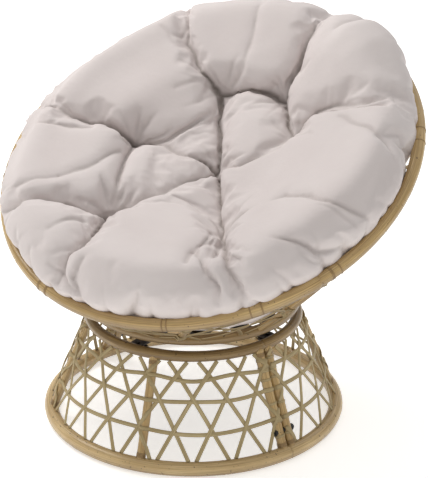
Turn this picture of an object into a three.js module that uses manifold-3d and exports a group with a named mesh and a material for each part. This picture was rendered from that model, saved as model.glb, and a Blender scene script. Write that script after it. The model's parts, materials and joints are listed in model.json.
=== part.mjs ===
// A round lounge chair. A ring-framed bowl seat holds a thick tufted cushion and turns on a drum-shaped,
// open-weave base that is made in two halves and bolted together at its seams.
//
// Millimetres, +Z up, floor at z = 0. The sitter looks along -Y. The swivel axis is a vertical line that
// stands SWIVEL_AHEAD in front of the origin, so that the origin lies under the middle of the whole chair.
// A bearing is an angle about that axis, counted from straight ahead towards +X.

import * as THREE from "three";
import { mergeVertices } from "three/addons/utils/BufferGeometryUtils.js";
import ManifoldModule from "manifold-3d";

const wasm = await ManifoldModule();
wasm.setup();

// Overall sizes. Ring radii go to the middle of the tube, and a tube's size is its radius.
const BASE_RING_RADIUS = 340;
const BASE_RING_TUBE = 16.5;
const TOP_RING_RADIUS = 244;
const TOP_RING_HEIGHT = 249.5;
const TOP_RING_TUBE = 12.5;
const SEAT_RING_RADIUS = 240.5;
const SEAT_RING_TUBE = 12.5;
const SWIVEL_SLIT = 14.5;
const RIM_RADIUS = 490;
const RIM_TUBE = 14.6;
const RIM_DROP_SHARE = 0.31;
const BOWL_BOW_SHARE = 0.25;
const RECLINE = THREE.MathUtils.degToRad(28.5);
const SWIVEL_AHEAD = 69.3;

// Clearance between pieces that touch, the overrun of a cutting shape past what it cuts, and the distance
// under which two corners of a mesh are one.
const FIT = 0.3;
const OVERRUN = 5;
const SAME_POINT = 0.0001;

// Base skirt.
const SEAM_BEARING = 70;
const POSTS = 6;
const POST_TUBE = 10;
const SEAM_POST_TUBE = 11;
const SEAM_POST_GAP = 2;

// Seam bolts, their caps and the saddle spacers between the posts.
const SEAM_BOLT_HEIGHT = 65;
const SEAM_BOLT_RADIUS = 3;
const SEAM_CAP_RADIUS = 8.5;
const SEAM_CAP_RISE = 7;
const SEAM_CAP_GRIP = 8;
const CAP_DOME_SHARE = 0.7;
const SPACER_RADIUS = 7.5;

// Flat strands of the weave.
const STRAND_WIDTH = 7.5;
const STRAND_THICKNESS = 2.4;
const SKIRT_WEAVE_LIFT = 4;
const SKIRT_STRANDS = 24;
const SKIRT_STRAND_BEARING = 8;
const SKIRT_HOOP_SHARES = [0.205, 0.405, 0.68];
const SKIRT_TWIST_ROWS = 4;
const SKIRT_TWIST_SHARE = 1.7;
const BOWL_STRANDS = 16;
const BOWL_STRAND_BEARING = 0;
const BOWL_HOOP_SHARES = [0.25, 0.5, 0.75];
const BOWL_TWIST_ROWS = 4;
const BOWL_TWIST_SHARE = 0.35;

// Bowl ribs.
const RIBS = 8;
const RIB_BEARING = 22.5;
const RIB_TUBE = 8;
const RIB_STEP_LENGTH = 78;

// Swivel: ears inside the rings, cross-shaped spiders, races, balls and pivot.
const EAR_THICKNESS = 5;
const EAR_WIDTH = 40;
const EAR_REACH = 34;
const EAR_BOLT_INSET = 20;
const SPIDER_THICKNESS = 5;
const SPIDER_PLATE = 190;
const SPIDER_ARM_WIDTH = 32;
const BASE_SPIDER_BEARING = -6;
const SEAT_SPIDER_BEARING = 0;
const ARMS = 4;
const ARM_BOLT_RADIUS = 3;
const ARM_BOLT_HEAD_RADIUS = 6;
const ARM_BOLT_HEAD_RISE = 3.2;
const RACE_OUTER_RADIUS = 82;
const RACE_INNER_RADIUS = 46;
const RACE_GAP = 4;
const GROOVE_SHARES = [1, 0.5, 0, -0.5, -1];
const BALL_RADIUS = 5;
const BALL_CLEARANCE = 0.8;
const BALLS = 8;
const CAGE_THICKNESS = 2;
const CAGE_WIDTH = 18;
const PIVOT_RADIUS = 8;
const PIVOT_CLEARANCE = 0.8;
const PIVOT_HEAD_RADIUS = 15;
const PIVOT_HEAD_RISE = 4;

// Cushion, in the rim's own plane: how far it reaches past the rim's radius or stays inside it, and the
// height over the rim's middle. It fills a share of the bowl's depth.
const CUSHION_BULGE_OVERHANG = 4;
const CUSHION_BULGE_HEIGHT = 46;
const CUSHION_LIP_INSET = 2;
const CUSHION_LIP_HEIGHT = 25;
const CUSHION_WAIST_INSET = 28;
const CUSHION_WAIST_HEIGHT = -4;
const CUSHION_CROWN_INSET = 85;
const CUSHION_CROWN_HEIGHT = 98;
const CUSHION_SHOULDER_HEIGHT = 84;
const CUSHION_DISH_HEIGHT = -14;
const CUSHION_FILL_SHARE = 0.742;
const BED_SLANT_SHARE = 1.3;
const DISH_SHARES = [0.35, 0.7];
const FOLD_SPREAD = 58;
const FOLD_SPREAD_SHARE = 0.85;

// The sewn tufts of the cushion, as [bearing in degrees, reach, depth]. The reach runs over the cloth from
// the middle of the dish to the waist and is a share of that way.
const MIDDLE_TUFT = [160, 0.02, 74];
const UPPER_LEFT_TUFT = [-158, 0.387, 84];
const UPPER_TUFT = [163, 0.4, 84];
const RIGHT_TUFT = [126, 0.317, 42];
const LEFT_TUFT = [-97, 0.367, 82];
const LOWER_LEFT_TUFT = [-41, 0.392, 84];
const FRONT_TUFT = [33, 0.275, 58];

// The folds run straight over the flattened cloth, from tuft to tuft or out to the edge.
const FOLDS = [
  [MIDDLE_TUFT, [-168, 0.19, 48]],
  [[-168, 0.19, 48], UPPER_LEFT_TUFT],
  [MIDDLE_TUFT, [-102, 0.2, 40]],
  [[-102, 0.2, 40], LEFT_TUFT],
  [MIDDLE_TUFT, [-50, 0.2, 46]],
  [[-50, 0.2, 46], LOWER_LEFT_TUFT],
  [MIDDLE_TUFT, FRONT_TUFT],
  [MIDDLE_TUFT, [115, 0.22, 20]],
  [UPPER_LEFT_TUFT, [-179, 0.383, 60]],
  [[-179, 0.383, 60], UPPER_TUFT],
  [UPPER_TUFT, RIGHT_TUFT],
  [UPPER_LEFT_TUFT, [-146, 0.617, 32]],
  [[-146, 0.617, 32], [-148, 0.77, 10]],
  [UPPER_TUFT, [165, 0.58, 36]],
  [[165, 0.58, 36], [167, 0.88, 10]],
  [RIGHT_TUFT, [130, 0.48, 28]],
  [[130, 0.48, 28], [117, 0.7, 5]],
  [LEFT_TUFT, [-92, 0.57, 38]],
  [[-92, 0.57, 38], [-91, 0.8, 10]],
  [LOWER_LEFT_TUFT, [-44, 0.575, 42]],
  [[-44, 0.575, 42], [-50, 0.9, 8]],
  [LOWER_LEFT_TUFT, [-21, 0.61, 42]],
  [[-21, 0.61, 42], [-15, 0.88, 12]],
  [FRONT_TUFT, [36, 0.667, 34]],
  [[36, 0.667, 34], [37, 0.9, 10]],
];

// How the edge differs from an even one at bearings all the way round, as [bearing in degrees, how far the
// crown rises, how far the bulge under it rises, how far the bulge stands out].
const EDGE_ROWS = [
  [-180, -10, -8, 0], [-160, -12, -10, 0], [-140, -16, -16, 0], [-125, -26, -20, 0], [-110, -28, -24, 2],
  [-95, -38, -28, 4], [-80, -38, -28, 4], [-66, -24, -20, 4], [-52, -8, -8, 2], [-35, 0, 0, 0],
  [75, 0, 0, -2], [90, -4, 0, -10], [100, -8, 0, -18], [110, -10, 0, -22], [120, -8, 0, -22],
  [130, 0, 0, -12], [138, 14, 8, 0], [146, 26, 16, 2], [154, 24, 14, 2], [161, 4, 0, 0],
  [168, -10, -8, 0], [180, -10, -8, 0],
];

// The reaches between which those three changes are taken up and left again. The rises end above the rim.
const CROWN_BAND = [0.42, 0.68, 0.78, 0.9];
const BULGE_RISE_BAND = [0.74, 0.86, 0.88, 0.93];
const BULGE_OUT_BAND = [0.74, 0.88, 0.94, 1];

// How finely round shapes are cut into facets.
const FLOOR_RING_FACETS = { around: 40, tube: 10 };
const SMALL_RING_FACETS = { around: 36, tube: 8 };
const RIM_FACETS = { around: 48, tube: 8 };
const ROD_SIDES = 10;
const CAP_SIDES = 8;
const BOLT_SIDES = 6;
const RIB_SIDES = 8;
const RACE_FACETS = 24;
const PIVOT_FACETS = 12;
const ARM_END_FACETS = 3;

const TAU = Math.PI * 2;
const UP = new THREE.Vector3(0, 0, 1);
const RIGHT = new THREE.Vector3(1, 0, 0);
const rad = THREE.MathUtils.degToRad;
function finish(color, roughness, metalness) {
  return new THREE.MeshStandardMaterial({ color, roughness, metalness });
}

const poleFinish = finish("#b3965f", 0.62, 0);
const strandFinish = finish("#a9a184", 0.6, 0);
const steelFinish = finish("#2c2a27", 0.5, 0.8);
const capFinish = finish("#17161a", 0.45, 0);
const fabricFinish = finish("#dcd6cf", 0.92, 0);

// Direction of a bearing, level with the floor, and the level direction square to it.
const heading = (bearing) => new THREE.Vector3(Math.sin(bearing), -Math.cos(bearing), 0);
const aside = (bearing) => new THREE.Vector3(Math.cos(bearing), Math.sin(bearing), 0);

// Solids. A closed three.js geometry becomes a solid that can be joined and cut, and comes back as a mesh.
function solid(geometry) {
  const bare = geometry.index ? geometry.toNonIndexed() : geometry.clone();
  bare.deleteAttribute("normal");
  bare.deleteAttribute("uv");
  const merged = mergeVertices(bare, SAME_POINT);
  const triVerts = new Uint32Array(merged.index.array);
  const vertProperties = new Float32Array(merged.attributes.position.array);
  const kept = [];
  for (let i = 0; i < triVerts.length; i += 3) {
    const [a, b, c] = triVerts.slice(i, i + 3);
    if (a !== b && b !== c && c !== a) kept.push(a, b, c);
  }
  return new wasm.Manifold(new wasm.Mesh({ numProp: 3, vertProperties, triVerts: new Uint32Array(kept) }));
}

// A bend also turns the flat drawing over, so its faces are wound the other way round.
function toGeometry(shape, bend) {
  const mesh = shape.getMesh();
  const positions = new Float32Array(mesh.numVert * 3);
  const point = new THREE.Vector3();
  for (let i = 0; i < mesh.numVert; i += 1) {
    point.fromArray(mesh.vertProperties, i * mesh.numProp);
    (bend ? bend(point) : point).toArray(positions, i * 3);
  }
  const faces = Array.from(mesh.triVerts);
  if (bend) faces.reverse();
  const geometry = new THREE.BufferGeometry();
  geometry.setAttribute("position", new THREE.BufferAttribute(positions, 3));
  geometry.setIndex(faces);
  return geometry;
}

function piece(name, shape, material, bend) {
  const mesh = new THREE.Mesh(toGeometry(shape, bend), material);
  mesh.name = name;
  return mesh;
}

// The largest of the separate bodies in a shape.
function largest(shape) {
  return shape.decompose().sort((a, b) => b.volume() - a.volume())[0];
}

// A ring of round tube about Z at a height. One facet of its tube lies level underneath.
function ringSolid(radius, tube, height, facets) {
  const corner = tube / Math.cos(Math.PI / facets.tube);
  const outline = [];
  for (let i = 0; i <= facets.tube; i += 1) {
    const turn = TAU * ((i % facets.tube) + 0.5) / facets.tube;
    outline.push(new THREE.Vector2(radius + corner * Math.sin(turn), -corner * Math.cos(turn)));
  }
  const ring = new THREE.LatheGeometry(outline, facets.around);
  ring.rotateX(Math.PI / 2);
  ring.translate(0, 0, height);
  return solid(ring);
}

// A straight round bar from one point to another.
function rodSolid(from, to, radius, sides = ROD_SIDES) {
  const along = to.clone().sub(from);
  const rod = new THREE.CylinderGeometry(radius, radius, along.length(), sides);
  const turn = new THREE.Quaternion().setFromUnitVectors(new THREE.Vector3(0, 1, 0), along.normalize());
  rod.applyQuaternion(turn);
  const middle = from.clone().add(to).multiplyScalar(0.5);
  rod.translate(middle.x, middle.y, middle.z);
  return solid(rod);
}

// A bore for a round bar: the middles of its flats lie at the radius.
function boreSolid(from, to, radius, sides = ROD_SIDES) {
  return rodSolid(from, to, radius / Math.cos(Math.PI / sides), sides);
}

// A turned piece about Z, from its half section as [radius, height] corners.
function turnedSolid(corners, facets) {
  const outline = corners.map(([radius, height]) => new THREE.Vector2(radius, height));
  const turned = new THREE.LatheGeometry(outline, facets);
  turned.rotateX(Math.PI / 2);
  return solid(turned);
}

// A level plate from a flat outline, with its underside at a height.
function plateSolid(outline, thickness, underside) {
  const settings = { depth: thickness, bevelEnabled: false, curveSegments: ARM_END_FACETS };
  const plate = new THREE.ExtrudeGeometry(outline, settings);
  plate.translate(0, 0, underside);
  return solid(plate);
}

function rectangle(halfWidth, near, far) {
  const outline = new THREE.Shape();
  outline.moveTo(-halfWidth, near);
  outline.lineTo(halfWidth, near);
  outline.lineTo(halfWidth, far);
  outline.lineTo(-halfWidth, far);
  return outline;
}

// Main places worked out from the sizes above. A clear slit parts the seat's lower ring from the ring under
// it. One sphere passes through the rim and the seat's lower ring. The bowl bows out from straight lines
// between the two by a share of what that sphere does.
const seatRingHeight = TOP_RING_HEIGHT + TOP_RING_TUBE + SWIVEL_SLIT + SEAT_RING_TUBE;
const rimDrop = RIM_RADIUS * RIM_DROP_SHARE;
const bowlRadius = Math.hypot(RIM_RADIUS, rimDrop);
const bowlHeight = seatRingHeight + Math.sqrt(bowlRadius ** 2 - SEAT_RING_RADIUS ** 2);
const bowlCentre = new THREE.Vector3(0, 0, bowlHeight);
const rimNormal = new THREE.Vector3(0, -Math.sin(RECLINE), Math.cos(RECLINE));
const rimRise = new THREE.Vector3(0, Math.cos(RECLINE), Math.sin(RECLINE));
const rimCentre = bowlCentre.clone().addScaledVector(rimNormal, -rimDrop);

// The rings as places: reach is how far a ring's corners come from the true circle of its tube's middle.
function ringPlace(radius, tube, centre, normal, facets) {
  const reach = tube / Math.cos(Math.PI / facets.tube) + radius * (1 - Math.cos(Math.PI / facets.around));
  return { radius, tube, centre, normal, reach };
}
const floorRingCentre = UP.clone().multiplyScalar(BASE_RING_TUBE);
const topRingCentre = UP.clone().multiplyScalar(TOP_RING_HEIGHT);
const seatRingCentre = UP.clone().multiplyScalar(seatRingHeight);
const floorRing = ringPlace(BASE_RING_RADIUS, BASE_RING_TUBE, floorRingCentre, UP, FLOOR_RING_FACETS);
const topRing = ringPlace(TOP_RING_RADIUS, TOP_RING_TUBE, topRingCentre, UP, SMALL_RING_FACETS);
const seatRing = ringPlace(SEAT_RING_RADIUS, SEAT_RING_TUBE, seatRingCentre, UP, SMALL_RING_FACETS);
const rimRing = ringPlace(RIM_RADIUS, RIM_TUBE, rimCentre, rimNormal, RIM_FACETS);

// How far a point lies from the middle of a ring's tube.
function fromRing(point, ring) {
  const out = point.clone().sub(ring.centre);
  const over = out.dot(ring.normal);
  const across = out.addScaledVector(ring.normal, -over).length();
  return Math.hypot(over, across - ring.radius);
}

// The two surfaces that carry weave: u is a bearing, v runs from 0 at the upper ring to 1 at the lower one,
// and lift is the distance outwards from the surface through the middles of both rings.
const skirtFall = new THREE.Vector2(BASE_RING_RADIUS - TOP_RING_RADIUS, BASE_RING_TUBE - TOP_RING_HEIGHT);
const skirtOut = new THREE.Vector2(-skirtFall.y, skirtFall.x).normalize();

function skirtSurface(u, v, lift = 0) {
  const radius = TOP_RING_RADIUS + skirtFall.x * v + skirtOut.x * lift;
  const height = TOP_RING_HEIGHT + skirtFall.y * v + skirtOut.y * lift;
  return heading(u).multiplyScalar(radius).setZ(height);
}

function bowlSurface(u, v, lift = 0) {
  const rimEnd = rimCentre.clone().addScaledVector(RIGHT, RIM_RADIUS * Math.sin(u));
  rimEnd.addScaledVector(rimRise, -RIM_RADIUS * Math.cos(u)).sub(bowlCentre);
  const lowEnd = heading(u).multiplyScalar(SEAT_RING_RADIUS).setZ(seatRingHeight).sub(bowlCentre);
  const arc = rimEnd.angleTo(lowEnd);
  const straight = rimEnd.clone().lerp(lowEnd, v);
  const round = rimEnd.multiplyScalar(Math.sin((1 - v) * arc)).addScaledVector(lowEnd, Math.sin(v * arc));
  const out = round.clone().normalize();
  const point = straight.lerp(round.setLength(bowlRadius), BOWL_BOW_SHARE);
  return point.addScaledVector(out, lift).add(bowlCentre);
}

// A step on a surface that lies square to a path there and is as long as asked, as changes in u and v.
const PROBE_SHARE = 1e-4;
function squareStep(surface, u, v, du, dv, length) {
  const here = surface(u, v);
  const alongU = surface(u + PROBE_SHARE, v).sub(here).divideScalar(PROBE_SHARE);
  const alongV = surface(u, v + PROBE_SHARE).sub(here).divideScalar(PROBE_SHARE);
  const path = alongU.clone().multiplyScalar(du).addScaledVector(alongV, dv);
  const across = alongU.clone().cross(alongV).normalize().cross(path.normalize()).multiplyScalar(length);
  const uu = alongU.dot(alongU);
  const uv = alongU.dot(alongV);
  const vv = alongV.dot(alongV);
  const spread = uu * vv - uv * uv;
  const acrossU = across.dot(alongU);
  const acrossV = across.dot(alongV);
  return [(acrossU * vv - acrossV * uv) / spread, (acrossV * uu - acrossU * uv) / spread];
}

// The line beside a path on a surface, at a distance to one side of it.
function besidePath(surface, path, distance) {
  return path.map(([u, v], i) => {
    const [u0, v0] = path[Math.max(i - 1, 0)];
    const [u1, v1] = path[Math.min(i + 1, path.length - 1)];
    const [du, dv] = squareStep(surface, u, v, u1 - u0, v1 - v0, distance);
    return [u + du, v + dv];
  });
}

// The share v at which a surface, lifted, comes clear of a ring's tube, searched from the ring inwards.
const MIDDLE_SHARE = 0.5;
const SEARCH_ROUNDS = 24;
function clearShare(surface, u, lift, ring, ringShare) {
  let near = ringShare;
  let far = MIDDLE_SHARE;
  for (let i = 0; i < SEARCH_ROUNDS; i += 1) {
    const middle = (near + far) / 2;
    if (fromRing(surface(u, middle, lift), ring) < ring.reach + FIT) near = middle;
    else far = middle;
  }
  return far;
}

// Weave. The strands of one field are drawn flat, as closed outlines in u and v, joined where they cross,
// cut to the field's edge, and then bent onto the surface. The flat drawing uses the seat ring's radius for
// a radian and for the full fall, so that its numbers are near real lengths.
const FLAT = SEAT_RING_RADIUS;

function flatSolid(outline, thickness) {
  const shape = new THREE.Shape(outline.map(([u, v]) => new THREE.Vector2(u * FLAT, v * FLAT)));
  return solid(new THREE.ExtrudeGeometry(shape, { depth: thickness, bevelEnabled: false }));
}

function strandSolid(surface, path) {
  const left = besidePath(surface, path, STRAND_WIDTH / 2);
  const right = besidePath(surface, path, -STRAND_WIDTH / 2);
  return flatSolid([...left, ...right.reverse()], STRAND_THICKNESS);
}

// Where a slanting strand has passed a number of rows of crossings: it turns fastest near the upper ring.
const rowShare = (weave, row) => ((1 + weave.twistShare) ** (row / weave.twistRows) - 1) / weave.twistShare;

function slantingPath(weave, start, side) {
  const path = [];
  for (let row = 0; row <= weave.twistRows; row += 1) {
    path.push([start + side * (row - 1) * (weave.pitch / 2), rowShare(weave, row)]);
  }
  return path;
}

// One field between two uprights, given as lines of u and v that the strands stay clear of.
function weaveField(weave, from, to) {
  const { surface, lift, upper, lower } = weave;
  const first = Math.min(...from.map(([u]) => u));
  const last = Math.max(...to.map(([u]) => u));
  const inner = lift - STRAND_THICKNESS / 2;
  const strands = [];
  const reach = (weave.pitch / 2) * weave.twistRows;
  const firstStrand = Math.floor((first - reach - weave.start) / weave.pitch);
  const lastStrand = Math.ceil((last + reach - weave.start) / weave.pitch);
  for (let i = firstStrand; i <= lastStrand; i += 1) {
    for (const side of [-1, 1]) {
      const path = slantingPath(weave, weave.start + i * weave.pitch, side);
      const misses = path.every(([u]) => u < first) || path.every(([u]) => u > last);
      if (!misses) strands.push(strandSolid(surface, path));
    }
  }
  const steps = Math.ceil((last - first) / (weave.pitch / 2));
  const spread = (i) => first + ((last - first) * i) / steps;
  const bearings = Array.from({ length: steps + 1 }, (_, i) => spread(i));
  for (const share of weave.hoopShares) {
    strands.push(strandSolid(surface, bearings.map((u) => [u, share])));
  }
  const top = bearings.map((u) => [u, clearShare(surface, u, inner, upper, 0)]);
  const bottom = bearings.map((u) => [u, clearShare(surface, u, inner, lower, 1)]);
  const band = flatSolid([...top, ...bottom.reverse()], STRAND_THICKNESS);
  const between = flatSolid([...from, ...to.slice().reverse()], STRAND_THICKNESS);
  const net = largest(wasm.Manifold.union(strands).intersect(band).intersect(between));
  const bend = (point) => surface(point.x / FLAT, point.y / FLAT, inner + point.z);
  return { net, bend };
}

const skirtWeave = {
  surface: skirtSurface,
  lift: SKIRT_WEAVE_LIFT,
  upper: topRing,
  lower: floorRing,
  pitch: TAU / SKIRT_STRANDS,
  start: rad(SKIRT_STRAND_BEARING),
  hoopShares: SKIRT_HOOP_SHARES,
  twistRows: SKIRT_TWIST_ROWS,
  twistShare: SKIRT_TWIST_SHARE,
};

const bowlWeave = {
  surface: bowlSurface,
  lift: 0,
  upper: rimRing,
  lower: seatRing,
  pitch: TAU / BOWL_STRANDS,
  start: rad(BOWL_STRAND_BEARING),
  hoopShares: BOWL_HOOP_SHARES,
  twistRows: BOWL_TWIST_ROWS,
  twistShare: BOWL_TWIST_SHARE,
};

// An upright's line from the upper ring to the lower one, and the edge of the field beside it.
const UPRIGHT_STEPS = 8;
function uprightLine(bearing) {
  return Array.from({ length: UPRIGHT_STEPS + 1 }, (_, i) => [bearing, i / UPRIGHT_STEPS]);
}
function fieldEdge(surface, bearing, offset, side) {
  const line = uprightLine(bearing);
  const edge = besidePath(surface, line, offset);
  const away = besidePath(surface, line, -offset);
  return side * (edge[0][0] - bearing) > 0 ? edge : away;
}

const chair = new THREE.Group();
const base = new THREE.Group();
const seat = new THREE.Group();
const tilted = new THREE.Group();
tilted.position.copy(rimCentre);
tilted.rotation.x = RECLINE;
seat.add(tilted);
chair.add(base, seat);
chair.position.y = -SWIVEL_AHEAD;

// Ear that carries a spider's arm: a flat tab that starts inside the ring's tube and points at the axis.
const earBoltRadius = (ring) => ring.radius - ring.tube - EAR_BOLT_INSET;
function earSolid(ring, bearing) {
  const inner = ring.radius - ring.tube - EAR_REACH;
  const outline = rectangle(EAR_WIDTH / 2, -ring.radius, -inner);
  const tab = plateSolid(outline, EAR_THICKNESS, ring.centre.z - ring.tube);
  const under = new THREE.Vector3(0, -earBoltRadius(ring), ring.centre.z - ring.tube - OVERRUN);
  const over = under.clone().setZ(ring.centre.z + OVERRUN);
  const hole = boreSolid(under, over, ARM_BOLT_RADIUS + FIT, BOLT_SIDES);
  return tab.subtract(hole).rotate([0, 0, THREE.MathUtils.radToDeg(bearing)]);
}

const seamBearings = [rad(SEAM_BEARING), rad(SEAM_BEARING) + Math.PI];
const armBearings = (start) => Array.from({ length: ARMS }, (_, i) => rad(start) + (TAU * i) / ARMS);

// Half of the space, on one side of the upright plane through both seams, a fit away from that plane.
const SPACE = 2 * (BASE_RING_RADIUS + BASE_RING_TUBE);
function halfSpace(side) {
  const box = new THREE.BoxGeometry(SPACE, SPACE, SPACE);
  box.translate(side * (SPACE / 2 + FIT), 0, 0);
  box.rotateZ(seamBearings[0]);
  return solid(box);
}

// Whether a bearing lies in the half of the base that has the seam plane's positive side.
function sideOf(bearing) {
  return Math.sign(heading(bearing).dot(aside(seamBearings[0])));
}

const floorRingSolid = ringSolid(BASE_RING_RADIUS, BASE_RING_TUBE, BASE_RING_TUBE, FLOOR_RING_FACETS);
const topRingSolid = ringSolid(TOP_RING_RADIUS, TOP_RING_TUBE, TOP_RING_HEIGHT, SMALL_RING_FACETS);
const floorRingCope = ringSolid(BASE_RING_RADIUS, BASE_RING_TUBE + FIT, BASE_RING_TUBE, FLOOR_RING_FACETS);
const topRingCope = ringSolid(TOP_RING_RADIUS, TOP_RING_TUBE + FIT, TOP_RING_HEIGHT, SMALL_RING_FACETS);
const topEars = armBearings(BASE_SPIDER_BEARING).map((bearing) => earSolid(topRing, bearing));
const topRingEars = wasm.Manifold.union(topEars);

// The axis of one seam bolt: the point between the two posts and the level direction across the seam.
const boltShare = (TOP_RING_HEIGHT - SEAM_BOLT_HEIGHT) / -skirtFall.y;
const seamPostOffset = SEAM_POST_TUBE + SEAM_POST_GAP / 2;
const seamPostFace = seamPostOffset + SEAM_POST_TUBE;
function seamAxis(bearing) {
  return { middle: skirtSurface(bearing, boltShare), across: aside(bearing) };
}
function seamRod(bearing, from, to, radius, sides) {
  const { middle, across } = seamAxis(bearing);
  const [near, far] = [from, to].map((distance) => middle.clone().addScaledVector(across, distance));
  return rodSolid(near, far, radius, sides);
}
function seamPostSolid(bearing, side, radius) {
  const shift = aside(bearing).multiplyScalar(side * seamPostOffset);
  return rodSolid(skirtSurface(bearing, 0).add(shift), skirtSurface(bearing, 1).add(shift), radius);
}

// Rings, posts and weave of the two halves of the base.
const halves = [
  { label: "left", side: -1 },
  { label: "right", side: 1 },
];
for (const { label, side } of halves) {
  const half = halfSpace(side);
  base.add(piece(`base_floor_ring_${label}`, floorRingSolid.intersect(half), poleFinish));
  base.add(piece(`base_top_ring_${label}`, topRingSolid.add(topRingEars).intersect(half), poleFinish));
}

const postPitch = TAU / POSTS;
for (let i = 0; i < POSTS; i += 1) {
  const bearing = rad(SEAM_BEARING) + i * postPitch;
  if (i % (POSTS / 2) === 0) continue;
  const post = rodSolid(skirtSurface(bearing, 0), skirtSurface(bearing, 1), POST_TUBE);
  base.add(piece(`base_post_${i}`, post.subtract(topRingCope).subtract(floorRingCope), poleFinish));
}

const seamNames = ["front_seam", "rear_seam"];
seamBearings.forEach((bearing, seam) => {
  const seamName = seamNames[seam];
  const boltHole = seamRod(bearing, -SPACE / 2, SPACE / 2, SEAM_BOLT_RADIUS + FIT, BOLT_SIDES);
  const copes = [-1, 1].map((side) => seamPostSolid(bearing, side, SEAM_POST_TUBE + FIT));
  const postsCope = wasm.Manifold.union(copes);
  for (const { label, side } of halves) {
    const towards = sideOf(bearing + side * postPitch / 2) === side ? side : -side;
    const post = seamPostSolid(bearing, towards, SEAM_POST_TUBE);
    const coped = post.subtract(topRingCope).subtract(floorRingCope).subtract(boltHole);
    base.add(piece(`${seamName}_post_${label}`, coped, poleFinish));
    const capFoot = towards * (seamPostFace - SEAM_CAP_GRIP);
    const capTop = towards * (seamPostFace + SEAM_CAP_RISE);
    const holeEnd = towards * (seamPostFace + SEAM_CAP_RISE / 2);
    const blindHole = seamRod(bearing, 0, holeEnd, SEAM_BOLT_RADIUS + FIT, BOLT_SIDES);
    const cap = seamRod(bearing, capFoot, holeEnd, SEAM_CAP_RADIUS, CAP_SIDES)
      .add(seamRod(bearing, capFoot, capTop, SEAM_CAP_RADIUS * CAP_DOME_SHARE, CAP_SIDES))
      .subtract(postsCope)
      .subtract(blindHole);
    base.add(piece(`${seamName}_cap_${label}`, largest(cap), capFinish));
  }
  const boltEnd = seamPostFace + SEAM_CAP_RISE / 2 - FIT;
  const bolt = seamRod(bearing, -boltEnd, boltEnd, SEAM_BOLT_RADIUS, BOLT_SIDES);
  base.add(piece(`${seamName}_bolt`, bolt, steelFinish));
  const saddle = seamRod(bearing, -SEAM_POST_TUBE, SEAM_POST_TUBE, SPACER_RADIUS, CAP_SIDES);
  const spacer = saddle.subtract(postsCope).subtract(boltHole);
  base.add(piece(`${seamName}_spacer`, largest(spacer), capFinish));
});

// How far the posts reach to each side of their bearing at the inner face of the weave. The skirt curves
// away from the two posts of a seam, which lie side by side, by the sag.
const weaveInner = SKIRT_WEAVE_LIFT - STRAND_THICKNESS / 2;
const postHalf = Math.sqrt(POST_TUBE ** 2 - weaveInner ** 2);
const seamSag = seamPostFace ** 2 / (2 * TOP_RING_RADIUS);
const seamHalf = seamPostOffset + Math.sqrt(SEAM_POST_TUBE ** 2 - (weaveInner - seamSag) ** 2);

for (let i = 0; i < POSTS; i += 1) {
  const bearing = rad(SEAM_BEARING) + i * postPitch;
  const beside = (post) => (post % (POSTS / 2) === 0 ? seamHalf : postHalf) + FIT;
  const from = fieldEdge(skirtSurface, bearing, beside(i), 1);
  const to = fieldEdge(skirtSurface, bearing + postPitch, beside(i + 1), -1);
  const { net, bend } = weaveField(skirtWeave, from, to);
  base.add(piece(`base_weave_${i + 1}`, net, strandFinish, bend));
}

// Swivel. Each spider is a square plate with four arms, and the races lie against the plates.
const baseSpiderUnder = TOP_RING_HEIGHT - TOP_RING_TUBE + EAR_THICKNESS + FIT;
const baseSpiderTop = baseSpiderUnder + SPIDER_THICKNESS;
const seatSpiderTop = seatRingHeight - SEAT_RING_TUBE - FIT;
const seatSpiderUnder = seatSpiderTop - SPIDER_THICKNESS;

function spiderSolid(ring, startBearing, underside, pivotHole) {
  const armEnd = ring.radius - ring.reach - FIT - SPIDER_ARM_WIDTH / 2;
  const arms = armBearings(startBearing).map((bearing) => {
    const outline = new THREE.Shape();
    outline.moveTo(-SPIDER_ARM_WIDTH / 2, 0);
    outline.lineTo(SPIDER_ARM_WIDTH / 2, 0);
    outline.lineTo(SPIDER_ARM_WIDTH / 2, armEnd);
    outline.absarc(0, armEnd, SPIDER_ARM_WIDTH / 2, 0, Math.PI, false);
    const arm = plateSolid(outline, SPIDER_THICKNESS, underside);
    return arm.rotate([0, 0, 180 + THREE.MathUtils.radToDeg(bearing)]);
  });
  const square = rectangle(SPIDER_PLATE / 2, -SPIDER_PLATE / 2, SPIDER_PLATE / 2);
  const plate = plateSolid(square, SPIDER_THICKNESS, underside);
  const holes = armBearings(startBearing).map((bearing) => {
    const at = heading(bearing).multiplyScalar(earBoltRadius(ring));
    const [low, high] = [at.clone().setZ(underside - OVERRUN), at.clone().setZ(underside + OVERRUN * 2)];
    return boreSolid(low, high, ARM_BOLT_RADIUS + FIT, BOLT_SIDES);
  });
  const [under, over] = [UP.clone().setZ(underside - OVERRUN), UP.clone().setZ(underside + OVERRUN * 2)];
  const middle = boreSolid(under, over, pivotHole, PIVOT_FACETS);
  const body = wasm.Manifold.union([plate.rotate([0, 0, startBearing]), ...arms]);
  return body.subtract(wasm.Manifold.union(holes)).subtract(middle);
}

const raceFoot = baseSpiderTop + FIT;
const raceCrest = seatSpiderUnder - FIT;
const raceMiddle = (raceFoot + raceCrest) / 2;
const ballCircle = (RACE_OUTER_RADIUS + RACE_INNER_RADIUS) / 2;
const grooveRadius = BALL_RADIUS + BALL_CLEARANCE;

// A faceted groove's corners lie as far outside the balls' circle as the middles of its flats lie inside.
const grooveCircle = (2 * ballCircle) / (1 + Math.cos(Math.PI / RACE_FACETS));

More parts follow.
